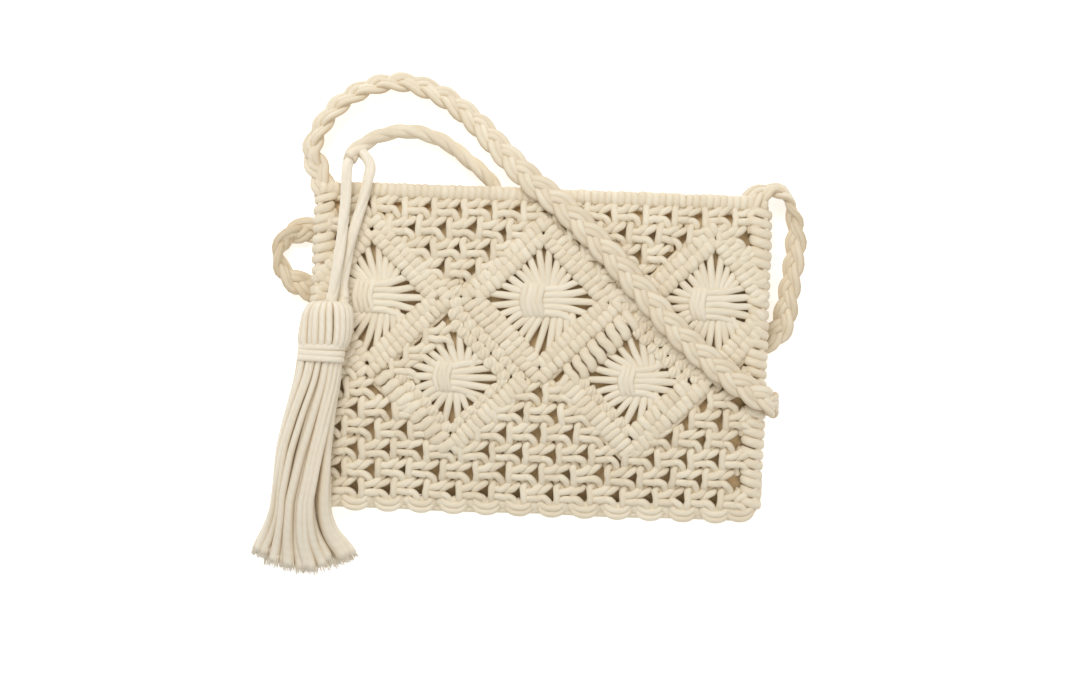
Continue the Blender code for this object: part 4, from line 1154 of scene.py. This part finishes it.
def pouch_faces():
    """The walls of both layers, the hem at the mouth and the closed bottom."""
    loop = 2 * POUCH_COLUMNS - 2
    outer, inner = np.arange(2 * POUCH_ROWS * loop).reshape(2, POUCH_ROWS, loop).tolist()
    faces = []
    for k in range(POUCH_ROWS - 1):
        for j in range(loop):
            n = (j + 1) % loop
            faces.append((outer[k][j], outer[k + 1][j], outer[k + 1][n], outer[k][n]))
            faces.append((inner[k][j], inner[k][n], inner[k + 1][n], inner[k + 1][j]))
    for j in range(loop):
        n = (j + 1) % loop
        faces.append((outer[-1][j], inner[-1][j], inner[-1][n], outer[-1][n]))
    for layer, flip in ((outer, False), (inner, True)):
        back = layer[0][:POUCH_COLUMNS]
        front = [back[0]] + layer[0][POUCH_COLUMNS:][::-1] + [back[-1]]
        for j in range(POUCH_COLUMNS - 1):
            quad = tuple(dict.fromkeys((back[j], back[j + 1], front[j + 1], front[j])))
            if len(quad) > 2:
                faces.append(quad[::-1] if flip else quad)
    return faces


def make_pouch(look):
    """Two faces of thin cloth joined at the sides and the bottom, open at the mouth."""
    wrinkle = pouch_wrinkles()
    places = np.concatenate(pouch_layer(0.0, wrinkle) + pouch_layer(LINING_THICK, wrinkle)) + TO_FRAME
    mesh = bpy.data.meshes.new("cloth_pouch")
    mesh.from_pydata(places.tolist(), [], pouch_faces())
    mesh.update()
    mesh.shade_smooth()
    piece = place_piece("cloth_pouch", mesh, look, ["lining"])


# The tassel
FINE_ENDS = 12


def tassel_row(table, share):
    """The columns of a table at some shares of the way down."""
    shares, *columns = zip(*table)
    return [np.interp(share, shares, column) for column in columns]


def soften(values):
    """Takes the corners out of a row of values."""
    for _ in range(3):
        padded = np.concatenate([values[:1], values, values[-1:]])
        values = (padded[:-2] + 2 * values + padded[2:]) / 4
    return values


def add_head(bundle):
    """Ribs from the top of the head to the band, and the neck of the strands above."""
    random = bundle.random
    steps = np.linspace(0.0, 1.0, 22)
    x, z = tassel_row(HEAD_TABLE, steps)
    out = tassel_row(HEAD_LOOK, steps)[0]
    y = TASSEL_TOP_Y + 0.0006 - steps * (TASSEL_HEAD_LENGTH + 0.002)
    angles = 2 * np.pi * (np.arange(HEAD_RIBS) + random.uniform(-0.15, 0.15, HEAD_RIBS)) / HEAD_RIBS
    angles = angles[:, None] - HEAD_LEAN * steps
    reach_x = out * (TASSEL_HALF_WIDE * HEAD_GROW - HEAD_RIB * MM * 0.8)
    reach_z = out * (TASSEL_HALF_THICK * HEAD_GROW - HEAD_RIB * MM * 0.8)
    path = np.stack([x + np.cos(angles) * reach_x, np.broadcast_to(y, (HEAD_RIBS, len(y))),
                     z + np.sin(angles) * reach_z], axis=-1)
    around = np.stack([-np.sin(angles) * reach_x, 0 * angles, np.cos(angles) * reach_z], axis=-1)
    swell = HEAD_RIB * random.normal(1, 0.07, (HEAD_RIBS, 1)) * np.clip(0.45 + out * 0.6, 0.5, 1.05)
    # Painted shade darkens the sides of the ribs where they meet
    bundle.add(path, swell, 10, wide=unit(around), flat=0.9, crease=0.8)
    for rows in NECK_CORDS:
        bundle.add(spline(rows, 4), 3.2, 12)


def add_skirt(bundle):
    """Layers of soft locks that turn to the left and flare at the end."""
    random = bundle.random
    steps = np.linspace(0.0, 1.0, 40)
    x, z, wide, thick = (soften(column) * MM for column in tassel_row(SKIRT_TABLE, steps))
    turn = SKIRT_TURN * np.clip(steps / 0.7, 0, 1) ** 1.2
    top_y = TASSEL_TOP_Y - TASSEL_HEAD_LENGTH - TASSEL_BAND_LENGTH * 0.2
    full = TASSEL_SKIRT_LENGTH + TASSEL_BAND_LENGTH * 0.8
    girth = 2 * np.pi * np.sqrt((wide ** 2 + thick ** 2) / 2) / MM
    grow = (0.15 + steps) * MM

    def wander(count):
        reach = random.normal(0, 1.2, (count, 1))
        speed = random.uniform(4, 8, (count, 1))
        return reach * np.sin(steps * speed + random.uniform(0, 6.3, (count, 1))) * grow

    for count, share in SKIRT_LAYERS:
        radius = np.minimum(girth * share / count / 2 * LOCK_OVERLAP, LOCK_LIMIT)
        radius = radius * random.normal(1, 0.10, (count, 1))
        angles = 2 * np.pi * (np.arange(count) + random.uniform(-0.25, 0.25, count)) / count
        angles = angles[:, None] + turn * random.uniform(0.8, 1.2, (count, 1))
        wander_x, wander_z = wander(count), wander(count)
        across = np.cos(angles)
        length = full * (1 - 0.075 * across[:, -1:] ** 2) * random.uniform(0.985, 1.0, (count, 1))
        inset = radius * 0.85 * MM
        path = np.stack([x + across * (wide - inset) * share + wander_x, top_y - steps * length,
                         z + np.sin(angles) * (thick - inset) * share + wander_z * 0.7], axis=-1)
        path[:, :, 2] = np.maximum(path[:, :, 2], (radius + 0.3) * MM)
        around = unit(np.stack([-np.sin(angles) * wide, 0 * angles, np.cos(angles) * thick], axis=-1))
        # Painted shade darkens the sides of the locks where they meet
        bundle.add(path, radius, 10, wide=around, flat=0.95, crease=0.75)
        add_fine_ends(bundle, path, radius[:, -1:], around[:, -1])


def make_tassel(look):
    """The head and the skirt in one piece."""
    bundle = Bundle("tassel_strands", 61)
    add_head(bundle)
    add_skirt(bundle)
    bundle.build(look, ["tassel"])


def make_tassel_band(look):
    """Flat turns of cord round the waist of the tassel."""
    bundle = Bundle("tassel_wrap", 62)
    angle = 2 * np.pi * np.arange(32) / 32
    reach_x = BAND_SHARE * TASSEL_HALF_WIDE + BAND_STAND
    reach_z = BAND_SHARE * TASSEL_HALF_THICK + BAND_STAND
    for k in range(BAND_TURNS):
        share = (k + 0.5) / BAND_TURNS
        x = -0.1298 - 0.0010 * share
        y = TASSEL_TOP_Y - TASSEL_HEAD_LENGTH - share * TASSEL_BAND_LENGTH
        ring = np.stack([x + np.cos(angle) * reach_x, y + 0.0003 * np.cos(angle + 2 * k),
                         0.0399 + np.sin(angle) * reach_z], axis=1)
        # Painted shade darkens the sides of the turns where they meet
        bundle.add(ring, 2.05, 10, closed=True, wide=(0.0, 1.0, 0.0), flat=0.5, crease=0.35)
    bundle.build(look, ["tassel_band"])


def add_fine_ends(bundle, path, swell, out):
    """Fine strands that stand out of the cut end of each lock."""
    random = bundle.random
    count = len(path)
    tip = path[:, -1]
    way = unit(path[:, -1] - path[:, -4])
    up = np.cross(way, out)
    for k in range(FINE_ENDS):
        angle = 2 * np.pi * k / FINE_ENDS
        radius = swell * MM * 0.72
        side = out * math.cos(angle) + up * math.sin(angle) * 0.8
        start = tip - way * 0.004 + side * radius
        length = random.uniform(1.2, 3.6, (count, 1)) * MM
        end = tip + way * length + side * radius * random.uniform(0.9, 1.5, (count, 1))
        controls = np.stack([start, (start + end) / 2 + side * 0.0003, end], axis=1)
        controls[:, :, 2] = np.maximum(controls[:, :, 2], 0.9 * MM)
        fine = spline(controls, 2)
        bundle.add(fine, np.linspace(0.75, 0.3, fine.shape[1]), 5)


# Everything in its place
make_camera()
fibres = cotton_group()
net_cotton = cotton_material(fibres, *NET_COTTON)
star_cotton = cotton_material(fibres, *STAR_COTTON)
braid_cotton = cotton_material(fibres, *BRAID_COTTON)
tassel_cotton = cotton_material(fibres, *TASSEL_COTTON)
pouch_cloth = cloth_material(*POUCH_CLOTH)

make_strap(braid_cotton)
make_rope(braid_cotton)
make_hanger("hanger_strand_left", LEFT_HANGER_ROUTE, "hanger_left", 13, tassel_cotton)
make_hanger("hanger_strand_right", RIGHT_HANGER_ROUTE, "hanger_right", 14, tassel_cotton)
make_upper_knots(net_cotton)
make_lower_knots(net_cotton)
make_frame_bars(net_cotton)
for plan in STAR_PLANS:
    make_star(plan, star_cotton)
make_rim("rim_loops_front", 63, "rim_front", lambda x: front_face(x, RIM_Y * MM + 0 * x) + 0.0045, net_cotton)
make_rim("rim_loops_back", 64, "rim_back", lambda x: back_face(x, RIM_Y * MM + 0 * x) - 0.0030, net_cotton)
make_sides(net_cotton)
make_bottom(net_cotton)
make_back_knots(net_cotton)
make_pouch(pouch_cloth)
make_tassel(tassel_cotton)
make_tassel_band(tassel_cotton)
make_studio()
